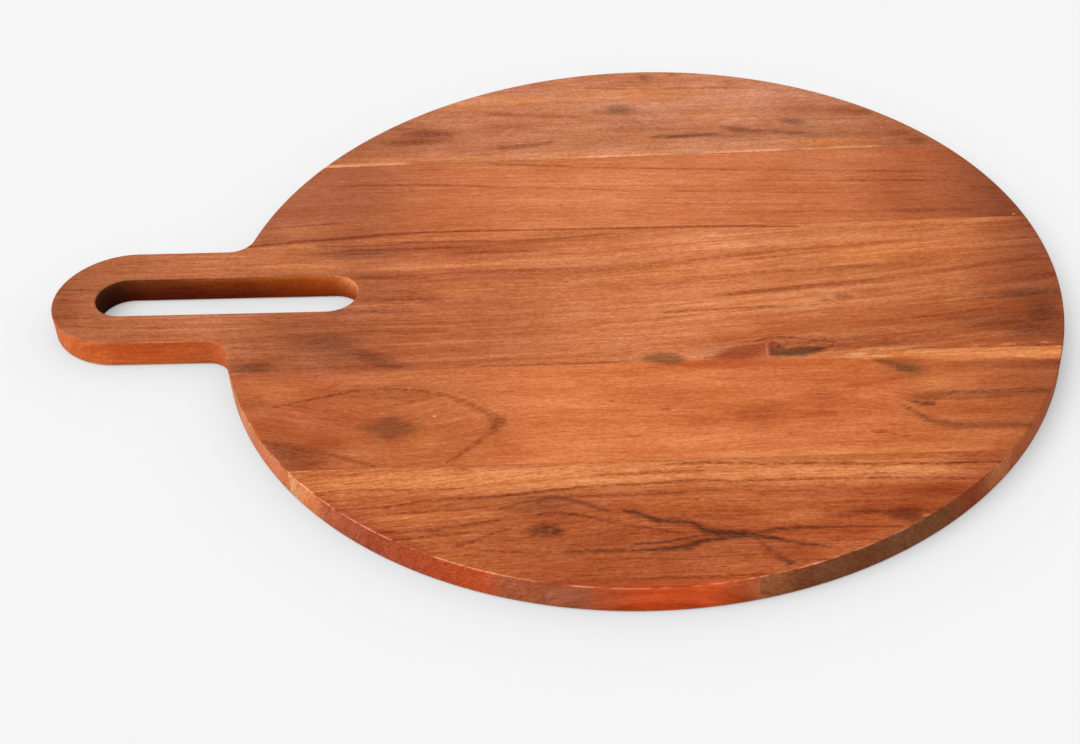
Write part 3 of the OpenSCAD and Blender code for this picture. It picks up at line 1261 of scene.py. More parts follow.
FRONT_INNER_WOOD = WoodFinish(
    "front_inner_wood",
    face=((-190, (0.5, 0.13, 0.04)), (-150, (0.49, 0.12, 0.038)), (-105, (0.55, 0.15, 0.047)),
          (-35, (0.72, 0.21, 0.065)), (30, (0.68, 0.185, 0.055)), (90, (0.62, 0.155, 0.043)),
          (135, (0.58, 0.16, 0.048)), (190, (0.39, 0.095, 0.029))),
    walls=((-195, (0.67, 0.28, 0.125)), (-165, (0.68, 0.19, 0.07)), (-140, (0.71, 0.21, 0.075)),
           (140, (0.45, 0.135, 0.045)), (170, (0.42, 0.1, 0.026)), (190, (0.36, 0.085, 0.025))),
    grain=Grain(seed=5.2, band_width=16, bands=0.3, streaks=0.35, fibres=0.6, clouds=0.42, speckle=0.55,
                pores=0.45, lines=0.05, wander=4),
    swirls=(Swirl(-112, -99, 44, 20, 16), Swirl(124, -91, 16, 9, 9)),
    marks={
        Stain.SAP: (
            Spot(-92, -93.2, 1.2, 1.2, 1.0, edge=Edge.TRUE),
            Stroke(92, 128, (-56.4, -56.0, -55.6), 1.4, 0.8), Spot(98, -57.4, 7, 1.9, 1.4, edge=Edge.WAVY),
            Spot(109, -57.2, 6, 1.5, 1.2, edge=Edge.WAVY),
            Stroke(110, 210, (-55.2, -54.6, -54.0), 1.6, 0.6),
        ),
        Stain.GLOW: (
            Spot(-166, -76, 28, 11, 0.4), Stroke(20, 156, (-121.6, -121.2, -120.2), 4.6, 0.8),
            Spot(-95, -110, 13, 7, 0.6), Spot(-20, -104, 34, 10, 0.3), Spot(20, -72, 26, 7, 0.25),
            # The sapwood in front of the third seam
            Check(((90, -57.0, 1.6), (104, -57.8, 2.6), (118, -56.8, 2.6), (130, -57.0, 4.8),
                   (146, -57.0, 6.2), (160, -56.8, 5.4), (172, -56.6, 5.6), (182, -57.0, 7.0),
                   (205, -56.4, 6.2)), 2.6),
            Spot(132, -76.5, 14, 5, 0.4), Stroke(60, 110, (-57.8, -57.6, -57.6), 1.6, 0.5),
            Spot(150, -112, 20, 4, 0.35),
        ),
        Stain.RUST: (
            Spot(-115, -98, 44, 22, 0.3), Spot(40, -60.6, 48, 6, 1.0), Spot(-126, -60.5, 32, 5, 0.7),
            Spot(66, -110, 22, 6, 0.4), Spot(-142, -112, 22, 8, 0.8), Spot(54, -97, 26, 15, 0.25),
            Spot(-56, -118, 20, 9, 0.7), Spot(4, -82, 34, 9, 0.3), Spot(150, -96, 34, 8, 0.6),
            Stroke(122, 214, (-66, -66, -66), 6, 0.45), Spot(78, -100, 28, 14, 0.4),
            Spot(170, -76, 24, 10, 0.4), Spot(82, -85, 18, 8, 0.4),
            Stroke(90, 122, (-79, -75.6, -71.6), 3, 0.6), Spot(-164, -97, 16, 10, 0.5),
        ),
        Stain.UMBER: (
            # The ring round the left knot
            Check(((-166, -85, 0.8), (-146, -79, 1.5), (-130, -74.6, 2.1), (-116, -73.6, 2.6),
                   (-100, -75.6, 2.6), (-88, -79, 2.6), (-78, -84.6, 2.8), (-70, -90.4, 3.4),
                   (-62.5, -97, 5.0), (-65.6, -104, 4.0), (-75, -114.4, 2.7), (-84, -123.6, 1.5)), 0.8),
            Check(((-134, -71.4, 0.9), (-105, -71.6, 1.0), (-84, -76, 1.0), (-70, -83.4, 0.8)), 0.45),
            # The lower line of that ring
            Check(((-168, -108, 2.2), (-147, -114.6, 3.0), (-130, -119.8, 2.6), (-116, -125.4, 2.0)), 0.75),
            Spot(-154, -115, 28, 9, 0.5, turn=-18), Spot(-150, -122.5, 18, 5, 0.4),
            Spot(-178, -84, 14, 6, 0.35), Stroke(120, 208, (-85.8, -83.4, -84.4), 2.4, 0.6),
            Stroke(112, 168, (-87.8, -88.0, -87.0), 1.8, 0.5),
            Stroke(126, 214, (-65.4, -65.2, -65.4), 4.6, 0.3),
            # The small knot on the right
            Spot(121.4, -89.6, 3.4, 1.9, 1.2, edge=Edge.WAVY),
            Spot(125.4, -91.2, 3.6, 2.4, 1.2, edge=Edge.WAVY),
            Spot(129, -91, 2.6, 1.8, 1.0, edge=Edge.WAVY), Spot(118, -94, 2.4, 2.0, 1.0, edge=Edge.WAVY),
            Spot(188, -65, 22, 6, 0.65),
            # The line that curves down from the small knot
            Check(((118.6, -94, 1.8), (121, -97.6, 2.8), (125, -101.3, 3.4), (132, -104.2, 3.6),
                   (138, -106, 3.6), (150, -105.6, 3.2), (172, -106.6, 3.0)), 0.5),
            # Dots below the small knot
            Spot(104.4, -109.4, 3.2, 2.6, 0.95), Spot(109, -111.4, 3.0, 1.7, 0.85),
            Spot(114, -112.4, 3.0, 1.6, 0.8), Spot(101.6, -108.2, 2.2, 1.6, 0.6),
            Spot(11, -91.6, 5, 3, 0.6), Spot(-13, -85.6, 3, 1.1, 0.7), Spot(-2, -108.8, 8, 1.4, 0.6),
            Spot(-22, -74, 7, 1.1, 0.4), Spot(116.5, -92.5, 2, 1.4, 0.7), Spot(53, -97, 22, 14, 0.4),
            Spot(82, -85, 18, 8, 0.4), Spot(80, -96.4, 10, 5, 0.35), Spot(156, -79, 12, 2, 0.3),
            Spot(30, -100, 14, 7, 0.25), Spot(-66, -108, 16, 10, 0.3), Spot(-110, -78, 34, 6, 0.35),
        ),
        Stain.SMOKE: (
            # The left knot
            Spot(-111, -100.3, 20, 12.4, 0.7, core=0.4, point=0.8), Spot(-157, -116, 27, 10, 0.5, turn=-20),
            Spot(-150, -123, 19, 6, 0.45), Spot(-113, -99.4, 11, 7, 0.5, core=0.4),
            # The oblong mark in front of the third seam
            Check(((108, -60.6, 2.5), (112.5, -62.4, 5.0), (117.4, -64.8, 7.5), (121.6, -66.4, 9.0),
                   (124.8, -67.4, 8.0)), 0.8),
            Spot(119.8, -66.2, 9, 5, 1.0, turn=-22, core=0.4), Spot(-64, -98.5, 6, 7, 0.45), SEAM_KNOT,
            Spot(125.6, -91.2, 6.5, 3.0, 0.5, core=0.3, edge=Edge.WAVY), Spot(120.8, -89.8, 3.6, 2.0, 0.4),
            Stroke(110, 216, (-86.4, -84.4, -85.0), 4.8, 0.45, Edge.TRUE),
            Check(((121, -97.6, 2.4), (125, -101.3, 4.4), (132, -104.2, 5.4), (138, -106, 5.4),
                   (150, -105.6, 5.0), (174, -106.6, 4.6)), 0.4),
        ),
    },
)
FRONT_WOOD = WoodFinish(
    "front_stave_wood",
    face=((-155, (0.52, 0.135, 0.04)), (-100, (0.52, 0.13, 0.038)), (-40, (0.47, 0.115, 0.035)),
          (30, (0.49, 0.115, 0.034)), (90, (0.47, 0.11, 0.031)), (140, (0.38, 0.08, 0.022))),
    # The walls darken right of x 50: partly the wood's own dark brown, partly painted shade
    walls=((-154, (0.84, 0.37, 0.16)), (-143, (0.8, 0.24, 0.085)), (-134, (0.47, 0.1, 0.036)),
           (-122, (0.4, 0.075, 0.028)), (-66, (0.54, 0.08, 0.021)), (-55, (0.42, 0.11, 0.046)),
           (50, (0.34, 0.11, 0.039)), (66, (0.2, 0.055, 0.018)), (90, (0.165, 0.047, 0.015)),
           (118, (0.2, 0.07, 0.025)), (140, (0.25, 0.047, 0.013)), (155, (0.46, 0.13, 0.036))),
    grain=Grain(seed=9.4, band_width=9, bands=0.3, streaks=0.4, fibres=0.85, clouds=0.5, speckle=0.65,
                pores=0.75, lines=0.6, slope=0.1, bend=-0.125, bend_x=-5, bend_width=50),
    swirls=(Swirl(-40, -167, 26, 10, 5),),
    marks={
        Stain.EDGE: (
            # The red wood along the left of the rim
            Check(((-140, -141.6, 1.0), (-130, -150.8, 5.0), (-118, -160.2, 6.0), (-105, -168.8, 6.0),
                   (-94, -175.4, 3.0), (-86, -180, 1.0)), 1.0),
        ),
        Stain.SAP: (
            Stroke(-164, -70, (-128.4, -127.0, -125.8), 0.8, 0.8), Spot(117, -161.4, 2.4, 1.4, 0.7),
        ),
        Stain.GLOW: (
            Stroke(-170, 60, (-135, -134.6, -131), 13, 0.9),
            Stroke(-70, 158, (-131, -132.6, -132), 14, 0.8), Spot(30, -150, 60, 9, 0.25),
            Stroke(-100, 60, (-140.5, -137.4, -135), 3.0, 0.5),
            Stroke(-112, -60, (-158, -157, -156), 3, 0.4), Spot(-38, -130, 26, 5, 0.5),
            Spot(64, -160, 18, 6, 0.5),
        ),
        Stain.RUST: (
            Spot(-20, -190, 50, 6, 0.3), Spot(-10, -153, 22, 7, 0.4), Spot(126, -144, 32, 10, 0.6),
            Spot(40, -182, 40, 7, 0.35), Spot(-42, -162, 30, 9, 0.25), Spot(138, -131, 16, 8, 0.6),
            Spot(-14, -171, 24, 8, 0.6), Spot(62, -181, 20, 7, 0.8), Spot(88, -170, 18, 7, 0.8),
            Spot(-63, -171, 16, 6, 0.5), Spot(12, -190, 28, 6, 0.6), Spot(16, -172, 30, 10, 0.4),
            Spot(104, -158, 24, 7, 0.6),
        ),
        Stain.UMBER: (
            # The dotted line in front of the fourth seam
            Check(((8, -127.8, 1), (20, -127.0, 1.5), (31, -126.8, 1.5), (54, -128.4, 1.5),
                   (75, -128.4, 1.4), (97, -129.4, 1.6), (128, -130, 1.5), (156, -129.4, 1.1)), 1.0),
            Stroke(-26, 34, (-134.0, -132.6, -131.8), 1.6, 0.85),
            Stroke(80, 160, (-138.2, -138.8, -139.6), 1.4, 0.8),
            # Long growth lines on the left
            Check(((-132, -152.6, 1.1), (-107, -151, 1.4), (-92, -147.6, 1.6), (-77, -146.4, 1.9),
                   (-56, -145, 1.9), (-38, -142.3, 1.5), (-19, -140.4, 1.5), (0, -139.4, 1.6),
                   (24, -137.8, 1.9), (40, -139, 1.6), (60, -138.2, 1.5), (90, -138.4, 1.2)), 0.95),
            Check(((-142, -142.4, 1.1), (-120, -140, 1.6), (-100, -141, 1.2), (-76, -140.4, 1.1)), 0.75),
            Stroke(-128, -60, (-156.4, -154.4, -151.8), 1.2, 0.6),
            Stroke(-150, -118, (-131.2, -130.8, -130.2), 1, 0.6),
            Stroke(-62, 40, (-146, -146.2, -143.6), 1.2, 0.6),
            Check(((-112, -166.6, 1.2), (-100, -166, 1.8), (-88, -165.2, 1.8), (-75, -163, 1.8),
                   (-60, -160, 1.2)), 0.95),
            Check(((-106, -171, 1.2), (-85, -168.6, 1.6), (-72, -167, 1)), 0.8),
            Check(((-44, -157.4, 1.2), (-37.6, -155.9, 1.8), (-31, -156.8, 1.8), (-20, -159.6, 2),
                   (-9, -163.4, 1.9), (4, -166.6, 1.5), (18, -169.8, 1.2)), 0.85),
            Check(((-77, -174.4, 2), (-69.6, -171.9, 1.8), (-62, -167.6, 1.5), (-55, -165, 1.1)), 0.8),
            Check(((-77, -174.6, 1.8), (-66, -177.6, 1.4), (-50, -178.7, 1.6), (-38, -179.2, 1.2)), 0.6),
            Stroke(-36, -2, (-179.0, -178.8, -178.6), 2, 0.7), Stroke(-30, 70, (-184, -183, -182), 1, 0.4),
            Stroke(-40, 10, (-175, -175.4, -175.4), 1.2, 0.5),
            Stroke(84, 120, (-135.4, -135.6, -135.4), 1.5, 0.6),
            Stroke(70, 118, (-161, -159.2, -157), 2, 0.6),
            Stroke(54, 120, (-153, -152.6, -151.6), 1.5, 0.45), Spot(-41, -166.5, 12, 7.5, 0.75),
            Stroke(40, 110, (-146, -145, -144.6), 1.1, 0.5),
            Stroke(-20, 60, (-195.4, -194.2, -192.4), 1, 0.9, Edge.TRUE), Spot(30, -160, 12, 1.6, 0.5),
            Check(((47, -173, 2), (51, -180, 3.8), (55, -184, 3.4), (58.4, -186.8, 3)), 0.55),
            Stroke(60, 76, (-186.2, -185.8, -185.4), 1.8, 0.7), Spot(44, -158.6, 9, 1.4, 0.5),
            # The halo of the branching check
            Check(((-4, -156.6, 4), (6.5, -161.7, 4.6), (20.2, -163.3, 4.6), (27, -168.6, 6),
                   (45.6, -171.2, 6.4), (56, -168, 3.2), (80, -167, 2.2)), 0.4),
            Check(((46, -171.4, 4), (26.6, -173.6, 3.8), (18, -177, 4.6), (4, -178.8, 2.4)), 0.4),
            Check(((48, -171.6, 3.4), (62, -175.6, 3), (76, -178, 2)), 0.4),
        ),
        Stain.SMOKE: (
            # The grey arc behind the eye knot
            Check(((-60, -153.4, 1.4), (-50, -149.4, 2.0), (-37, -147.2, 2.6), (-31, -148.4, 2.6),
                   (-22, -152, 2.4), (-15, -155.4, 1.8)), 0.7),
            Spot(-40.5, -166.8, 11, 5.6, 0.5, core=0.3), Spot(-42, -152, 20, 7, 0.42, core=0.3),
            Check(((49, -176, 2.4), (52, -180.5, 3.6), (56, -184.6, 3.2), (58.6, -187, 2.6)), 0.35),
            Spot(59, -187, 5, 2.4, 0.5), Spot(109, -160.6, 12, 6, 0.85), Spot(94, -157.6, 9, 2, 0.6),
            Spot(-17, -178.5, 18, 2, 0.5), Spot(36, -169.6, 16, 4, 0.6), Spot(16, -177, 72, 13, 0.2),
            Spot(52, -173, 9, 4, 0.4),
        ),
        Stain.CHAR: (
            # The branching check
            Check(((-8, -155.6, 1.6), (-4, -156.6, 2.4), (1.2, -159, 2.2), (6.5, -161.7, 2.8),
                   (12.8, -162.2, 3.0), (20.2, -163.3, 2.4), (24.5, -166.5, 3.2), (27, -168.6, 3.2),
                   (37.2, -169.7, 3.4), (45.6, -171.2, 3.2), (49.5, -172, 1.4)), 0.85),
            Check(((44, -170, 1.9), (54, -167.9, 2.2), (64.7, -167.1, 1.5), (86, -166.9, 1.3),
                   (106, -167.4, 0.9)), 0.65),
            Check(((45, -171.2, 1.9), (35, -172.3, 1.8), (26.6, -173.4, 2.0), (21.3, -175, 2.8),
                   (18, -177, 3.0), (11.8, -178.1, 2.0), (3, -178.5, 1.4), (-5, -178.8, 0.8)), 0.9),
            Check(((26.6, -170.2, 1.4), (19.2, -171.8, 1.5), (9.6, -174.4, 1.4), (-3, -175.2, 0.9)), 0.85),
            Check(((48, -171.6, 1.6), (58.4, -174.4, 1.7), (64.7, -176.5, 1.8), (74, -177.7, 1.1)), 0.75),
            # The eye knot, and the dot at the rim
            Spot(-36.7, -166.7, 4.0, 3.4, 0.6), Spot(-44, -166.2, 4, 3, 0.25),
            Spot(58.4, -187, 3.2, 2, 0.75),
        ),
    },
)
STRIP_WOOD = WoodFinish(
    "front_strip_wood",
    face=((-50, (0.4, 0.07, 0.018)), (50, (0.46, 0.08, 0.018))),
    walls=((-44, (0.37, 0.095, 0.038)), (-25, (0.34, 0.085, 0.032)), (-17, (0.47, 0.08, 0.024)),
           (3, (0.67, 0.09, 0.021)), (24, (0.77, 0.115, 0.027)), (40, (0.41, 0.065, 0.016)),
           (48, (0.4, 0.095, 0.03))),
    grain=Grain(seed=2.6, band_width=7, bands=0.7, streaks=0.6, speckle=0.4),
    marks={
        Stain.UMBER: (
            Spot(34, -197, 4, 1.4, 0.5),
        ),
    },
)


@dataclass(frozen=True)
class GlueFinish:
    """Cured wood glue with sanding dust in it: dark brown, mottled, matt."""

    name: str = "glue"
    dark: Colour = (0.20, 0.05, 0.014)
    pale: Colour = (0.36, 0.10, 0.03)
    mottle: Cloud = (9.0, 2.0, 2.0)
    roughness: float = 0.4
    mottle_roughness: float = 0.3

    def material(self) -> bpy.types.Material:
        """Makes the material, mottled along the seam.

        Returns:
            A material whose colour and roughness follow the mottle.
        """
        material, graph, shader = new_material(self.name)
        place = graph.group(place_group())["place"]
        mottle = graph.noise(place.vector("DIVIDE", self.mottle), detail=3.0)
        graph.put(shader.inputs["Base Color"], graph.blend(mottle, (*self.dark, 1.0), (*self.pale, 1.0)))
        graph.put(shader.inputs["Roughness"], mottle * self.mottle_roughness + self.roughness)
        return material


GLUE = GlueFinish()


# Pieces

@dataclass(frozen=True)
class Piece:
    """One piece of the board between two lines along the grain, in the grain frame."""

    node: str
    slot: str
    front: float
    back: float
    sink: float = 0.0

    def rows(self) -> np.ndarray:
        """Half profiles along the grain, one for each line across the piece; overridden by each kind."""
        raise NotImplementedError

    def build(self) -> bpy.types.Object:
        """Makes the piece's mesh."""
        return mirrored_shell(self.node, self.rows(), OUTLINE.thickness, closed=False)

    def dressed(self, material: bpy.types.Material) -> bpy.types.Object:
        """Builds the piece, dresses it and puts it in its node's place on the board.

        Args:
            material: The piece's finish.

        Returns:
            The piece.
        """
        piece = self.build()
        piece.name = f"{self.node}_piece"
        piece.data.materials.append(material)
        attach(piece, BODY)
        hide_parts(self.node)
        return piece


@dataclass(frozen=True)
class ThroughStave(Piece):
    """A piece that runs from rim to rim, between two seams."""

    across: int = 48
    along: int = 150

    def rows(self) -> np.ndarray:
        """Profiles along the grain, at equal angles of the rim.

        Row v = R sin a. Each profile runs from the left wall up its arris, along the face and down the
        right arris, with both ends where the inset outline crosses the row.

        Returns:
            Array of (row, profile, 3) points.
        """
        first, last = (math.asin(line / OUTLINE.disc_r) for line in (self.front, self.back))
        v = OUTLINE.disc_r * np.sin(np.linspace(first, last, self.across))[:, None]
        inset, z = OUTLINE.arris()
        inset, z = inset + self.sink, z - self.sink
        left, right = OUTLINE.left_edge(v, inset), OUTLINE.right_edge(v, inset)
        share = np.linspace(0.0, 1.0, self.along)[1:-1]
        face = left[:, :1] + (right[:, :1] - left[:, :1]) * share
        u = np.concatenate([left[:, ::-1], face, right], axis=1)
        heights = np.concatenate([z[::-1], np.full(len(share), z[0]), z])
        x, y = OUTLINE.turned(u, np.broadcast_to(v, u.shape))
        return np.stack([x, y, np.broadcast_to(heights, u.shape)], axis=-1)


@dataclass(frozen=True)
class SegmentStave(Piece):
    """A piece between one seam and the rim, at the back or at the front of the disc."""

    around: int = 160
    across: int = 36

    def rows(self) -> np.ndarray:
        """Profiles from the seam out to the rim, carried along the arc.

        At inset i the arc spans the angles whose sine is at least seam / (R - i). A profile runs straight
        from its share of the seam to the same share of the inset arc, and then over the arris.

        Returns:
            Array of (path, profile, 3) points, counterclockwise from above.
        """
        outward = 1.0 if self.back > OUTLINE.disc_r else -1.0
        seam = self.front if outward > 0 else -self.back
        inset, z = OUTLINE.arris()
        share = np.linspace(0.0, 1.0, self.around)[:, None]
        radius = OUTLINE.disc_r - inset
        start = np.arcsin(seam / radius)
        angle = start + (math.pi - 2 * start) * share
        u, v = radius * np.cos(angle), radius * np.sin(angle)
        step = np.linspace(0.0, 1.0, self.across)[:-1]
        seam_u = u[0, 0] + (u[-1, 0] - u[0, 0]) * share
        face_u = seam_u + (u[:, :1] - seam_u) * step
        face_v = seam + (v[:, :1] - seam) * step
        u = outward * np.concatenate([face_u, u], axis=1)
        v = outward * np.concatenate([face_v, v], axis=1)
        heights = np.concatenate([np.full(len(step), z[0]), z])
        x, y = OUTLINE.turned(u, v)
        return np.stack([x, y, np.broadcast_to(heights, u.shape)], axis=-1)


@dataclass(frozen=True)
class HandleStave(Piece):
    """The stave that runs out into the handle, as profiles from the grip slot out to its edge."""

    across: int = 44
    spacing: float = 2.4 * MM
    fewest: int = 4

    def steps(self, length: float) -> np.ndarray:
        """Even shares along a stretch of the edge, without its last point."""
        return np.linspace(0.0, 1.0, max(self.fewest, round(length / self.spacing)), endpoint=False)

    def edge(self, inset: float) -> np.ndarray:
        """The edge at an inset from the outline, counterclockwise from the right end of the back seam.

        Stretches: the back seam, the back root fillet, the handle's back side, its round end, its front
        side, the front root fillet, the rim, the front seam and the rim on the right.

        Args:
            inset: Distance in from the outline; the seams stay where they are.

        Returns:
            Array of (point, 2) coordinates.
        """
        root_x, root_y = OUTLINE.root
        rim, fillet, half = OUTLINE.disc_r - inset, OUTLINE.fillet_r + inset, OUTLINE.handle_r - inset

        def corner(edge: Callable, v: float, sign: float) -> np.ndarray:
            """Where a seam meets the inset outline."""
            u = sign * edge(np.array(v), np.array(inset))
            return np.array(OUTLINE.turned(u, np.array(v)))

        back_right = corner(OUTLINE.right_edge, self.back, 1.0)
        back_left = corner(OUTLINE.left_edge, self.back, 1.0)
        front_left = corner(OUTLINE.right_edge, self.front, -1.0)
        front_right = corner(OUTLINE.right_edge, self.front, 1.0)

        def line(start: Sequence[float], end: Sequence[float], length: float) -> np.ndarray:
            """Points along a straight stretch."""
            share = self.steps(length)[:, None]
            return np.array(start) + (np.array(end) - np.array(start)) * share

        def arc(centre: Sequence[float], radius: float, start: float, end: float,
                length: float) -> np.ndarray:
            """Points along a round stretch."""
            angle = start + (end - start) * self.steps(length)
            return np.array(centre) + radius * np.stack([np.cos(angle), np.sin(angle)], axis=-1)

        def bearing(point: np.ndarray) -> float:
            """Angle of a point about the disc's centre, from 0 to a full turn."""
            return math.atan2(point[1], point[0]) % (2 * math.pi)

        entry = math.atan2(back_left[1] - root_y, back_left[0] - root_x)
        leave = math.atan2(root_y, -root_x)
        disc, quarter = OUTLINE.disc_r, math.pi / 2
        # The last value of each stretch is its rough length, which sets how many points it gets
        return np.concatenate([
            line(back_right, back_left, 2 * disc),
            arc((root_x, root_y), fillet, entry, -quarter, OUTLINE.fillet_r * 2),
            line((root_x, half), (OUTLINE.tip_x, half), root_x - OUTLINE.tip_x),
            arc((OUTLINE.tip_x, 0.0), half, quarter, 3 * quarter, math.pi * OUTLINE.handle_r),
            line((OUTLINE.tip_x, -half), (root_x, -half), root_x - OUTLINE.tip_x),
            arc((root_x, -root_y), fillet, quarter, leave, OUTLINE.fillet_r * 2),
            arc((0.0, 0.0), rim, math.pi + leave, bearing(front_left), OUTLINE.fillet_r * 2),
            line(front_left, front_right, 2 * disc),
            arc((0.0, 0.0), rim, bearing(front_right) - 2 * math.pi, bearing(back_right), disc / 2),
        ])

    def rows(self) -> np.ndarray:
        """Profiles from the slot's wall over its arris, along the face and over the outer arris.

        Each point of the edge faces the nearest point of the slot's middle line, and the slot's edge lies
        on the line between them, at the slot's radius.

        Returns:
            Array of (path, profile, 3) points.
        """
        inset, z = OUTLINE.arris()
        outer = np.stack([self.edge(float(i)) for i in inset], axis=1)
        face_edge = outer[:, 0]
        middle_x = np.clip(face_edge[:, 0], OUTLINE.tip_x, OUTLINE.tip_x + OUTLINE.slot_run)
        middle = np.stack([middle_x, np.zeros_like(middle_x)], axis=-1)
        away = face_edge - middle
        away /= np.linalg.norm(away, axis=-1, keepdims=True)
        flare = inset[::-1, None]
        slot = middle[:, None] + away[:, None] * (OUTLINE.slot_r + flare)
        share = np.linspace(0.0, 1.0, self.across)[1:-1, None]
        face = slot[:, -1:] + (face_edge - slot[:, -1])[:, None] * share
        points = np.concatenate([slot, face, outer], axis=1)
        heights = np.concatenate([z[::-1], np.full(len(share), z[0]), z])
        return np.concatenate([points, np.broadcast_to(heights[:, None], (*points.shape[:2], 1))], axis=-1)

    def build(self) -> bpy.types.Object:
        """Makes the stave's mesh as one closed band round the slot."""
        return mirrored_shell(self.node, self.rows(), OUTLINE.thickness, closed=True)


@dataclass(frozen=True)
class Board:
    """The whole board: its staves between the seams, and a sunk glue film in each seam."""

    glue_sink: float = 0.04 * MM

    def staves(self) -> list[tuple[Piece, WoodFinish]]:
        """Lists the staves from back to front, each set back by half a glue line at its seams.

        Returns:
            The six staves, each with its wood.
        """
        half = OUTLINE.glue_t / 2
        clear = 2 * OUTLINE.disc_r
        first, second, third, fourth, fifth = OUTLINE.seams
        return [
            (SegmentStave("back_stave", BACK_WOOD.name, first + half, clear), BACK_WOOD),
            (ThroughStave("rear_inner_stave", REAR_INNER_WOOD.name, second + half, first - half),
             REAR_INNER_WOOD),
            (HandleStave("handle_stave", HANDLE_WOOD.name, third + half, second - half), HANDLE_WOOD),
            (ThroughStave("front_inner_stave", FRONT_INNER_WOOD.name, fourth + half, third - half),
             FRONT_INNER_WOOD),
            (ThroughStave("front_stave", FRONT_WOOD.name, fifth + half, fourth - half), FRONT_WOOD),
            (SegmentStave("front_strip", STRIP_WOOD.name, -clear, fifth - half, around=60, across=8),
             STRIP_WOOD),
        ]

    def glue_lines(self) -> list[Piece]:
        """Lists the glue films from back to front.

        Returns:
            The five films.
        """
        half = OUTLINE.glue_t / 2
        return [ThroughStave(f"glue_line_{number}", GLUE.name, seam - half, seam + half, self.glue_sink,
                             across=2)
                for number, seam in enumerate(OUTLINE.seams, 1)]

    def build(self) -> None:
        """Builds and dresses every piece."""
        for piece, finish in self.staves():
            report(piece.dressed(finish.material()))
        glue = GLUE.material()
        for piece in self.glue_lines():
            report(piece.dressed(glue))


def report(piece: bpy.types.Object) -> None:
    """Logs a piece's name and how many faces it has."""
    LOG.info("%s: %d faces", piece.name, len(piece.data.polygons))


# Studio

@dataclass(frozen=True)
class Viewpoint:
    """The photograph's camera: its lens, its turns and where the disc's centre lies in its view."""

    sensor: float = 36.0
    lens: float = 60.64
    pitch: float = math.radians(39.841)
    yaw: float = math.radians(-4.16)
    roll: float = math.radians(-3.867)
    centre: tuple[float, float, float] = (0.04819, 0.03135, 0.88913)

    def build(self) -> None:
        """Makes the camera from its right, up and forward directions and the centre's place in its view."""
        turn = Matrix.Rotation(self.yaw, 3, "Z")
        right = Vector((1, 0, 0))
        forward = Vector((0, math.cos(self.pitch), -math.sin(self.pitch)))
        up = right.cross(forward)
        leaning = right * math.cos(self.roll) + up * math.sin(self.roll)
        upright = up * math.cos(self.roll) - right * math.sin(self.roll)
        axes = Matrix((leaning, upright, forward)) @ turn
        data = bpy.data.cameras.new("camera")
        data.lens = self.lens
        data.sensor_width = self.sensor
        camera = bpy.data.objects.new("camera", data)
        place = -(axes.transposed() @ Vector(self.centre))
        columns = Matrix((axes[0], axes[1], -axes[2])).transposed()
        camera.matrix_world = Matrix.Translation(place) @ columns.to_4x4()
        bpy.context.scene.collection.objects.link(camera)
        bpy.context.scene.camera = camera


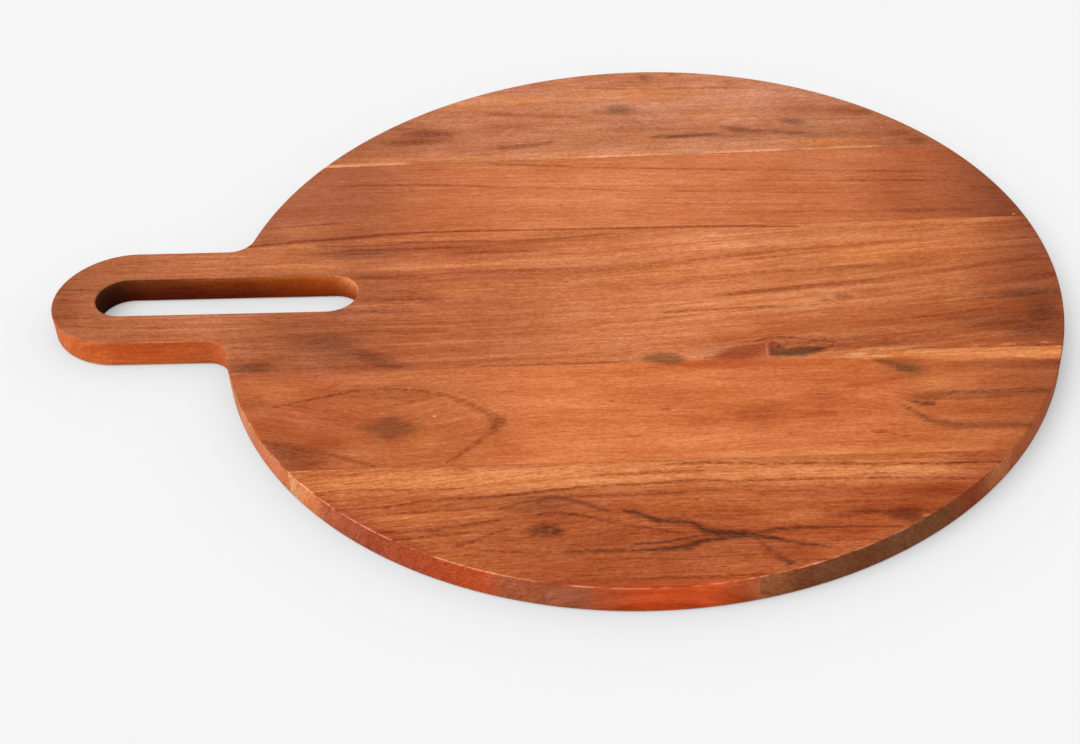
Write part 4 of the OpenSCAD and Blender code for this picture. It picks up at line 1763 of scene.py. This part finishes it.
@dataclass(frozen=True)
class Studio:
    """A pale floor, an even white surround and one broad soft light from the front left."""

    floor_half: float = 6.0
    floor_gap: float = 0.2 * MM
    floor_glow: float = 0.2
    surround: float = 0.62
    key_strength: float = 1.47
    key_spread: float = math.radians(60)
    key_from: tuple[float, float, float] = (-0.45, -0.35, 0.90)

    def seen(self, graph: Graph) -> Signal:
        """Tells the rays that are seen from those that light the board.

        Args:
            graph: The graph of a material or of the surround.

        Returns:
            1 for rays that the camera sees, also mirrored or through glass, and 0 for the others.
        """
        rays = graph.tree.nodes.new("ShaderNodeLightPath").outputs
        kinds = ("Is Camera Ray", "Is Glossy Ray", "Is Transmission Ray")
        return largest(Signal(graph, rays[kind]) for kind in kinds)

    def light_surround(self, scene: bpy.types.Scene) -> None:
        """Makes the surround, which looks white and lights the board less than white would.

        Args:
            scene: The scene.
        """
        world = bpy.data.worlds.new("surround")
        world.use_nodes = True
        graph = Graph(world.node_tree)
        backdrop = world.node_tree.nodes["Background"]
        backdrop.inputs["Color"].default_value = WHITE
        graph.put(backdrop.inputs["Strength"], self.seen(graph) * (1.0 - self.surround) + self.surround)
        scene.world = world

    def light_key(self, scene: bpy.types.Scene) -> None:
        """Makes the broad soft light.

        Args:
            scene: The scene.
        """
        key = bpy.data.lights.new("key", "SUN")
        key.energy = self.key_strength
        key.angle = self.key_spread
        lamp = bpy.data.objects.new("key", key)
        lamp.rotation_euler = Vector(self.key_from).to_track_quat("Z", "Y").to_euler()
        scene.collection.objects.link(lamp)

    def lay_floor(self, scene: bpy.types.Scene) -> None:
        """Makes the floor just below the board, of white paint that glows a little where it is seen.

        Args:
            scene: The scene.
        """
        half, low = self.floor_half, -self.floor_gap
        mesh = bpy.data.meshes.new("floor")
        corners = [(-half, -half, low), (half, -half, low), (half, half, low), (-half, half, low)]
        mesh.from_pydata(corners, [], [(0, 1, 2, 3)])
        floor = bpy.data.objects.new("floor", mesh)
        paint, graph, shader = new_material("floor_paint")
        shader.inputs["Base Color"].default_value = WHITE
        shader.inputs["Roughness"].default_value = 1.0
        shader.inputs["Specular IOR Level"].default_value = 0.0
        glow = graph.node("ShaderNodeEmission", GLOW_WHITE, 1.0)
        lit = Signal(graph, shader.outputs[0])
        mixed = graph.node("ShaderNodeMixShader", self.seen(graph) * self.floor_glow, lit, glow)
        graph.put(paint.node_tree.nodes["Material Output"].inputs["Surface"], mixed)
        mesh.materials.append(paint)
        scene.collection.objects.link(floor)

    def build(self) -> None:
        """Makes the surround, the light and the floor."""
        scene = bpy.context.scene
        scene.view_settings.view_transform = "Standard"
        self.light_surround(scene)
        self.light_key(scene)
        self.lay_floor(scene)


def main() -> None:
    """Builds the studio and the board."""
    logging.basicConfig(level=logging.INFO, format="%(name)s: %(message)s")
    Viewpoint().build()
    Studio().build()
    Board().build()


if __name__ == "__main__":
    main()
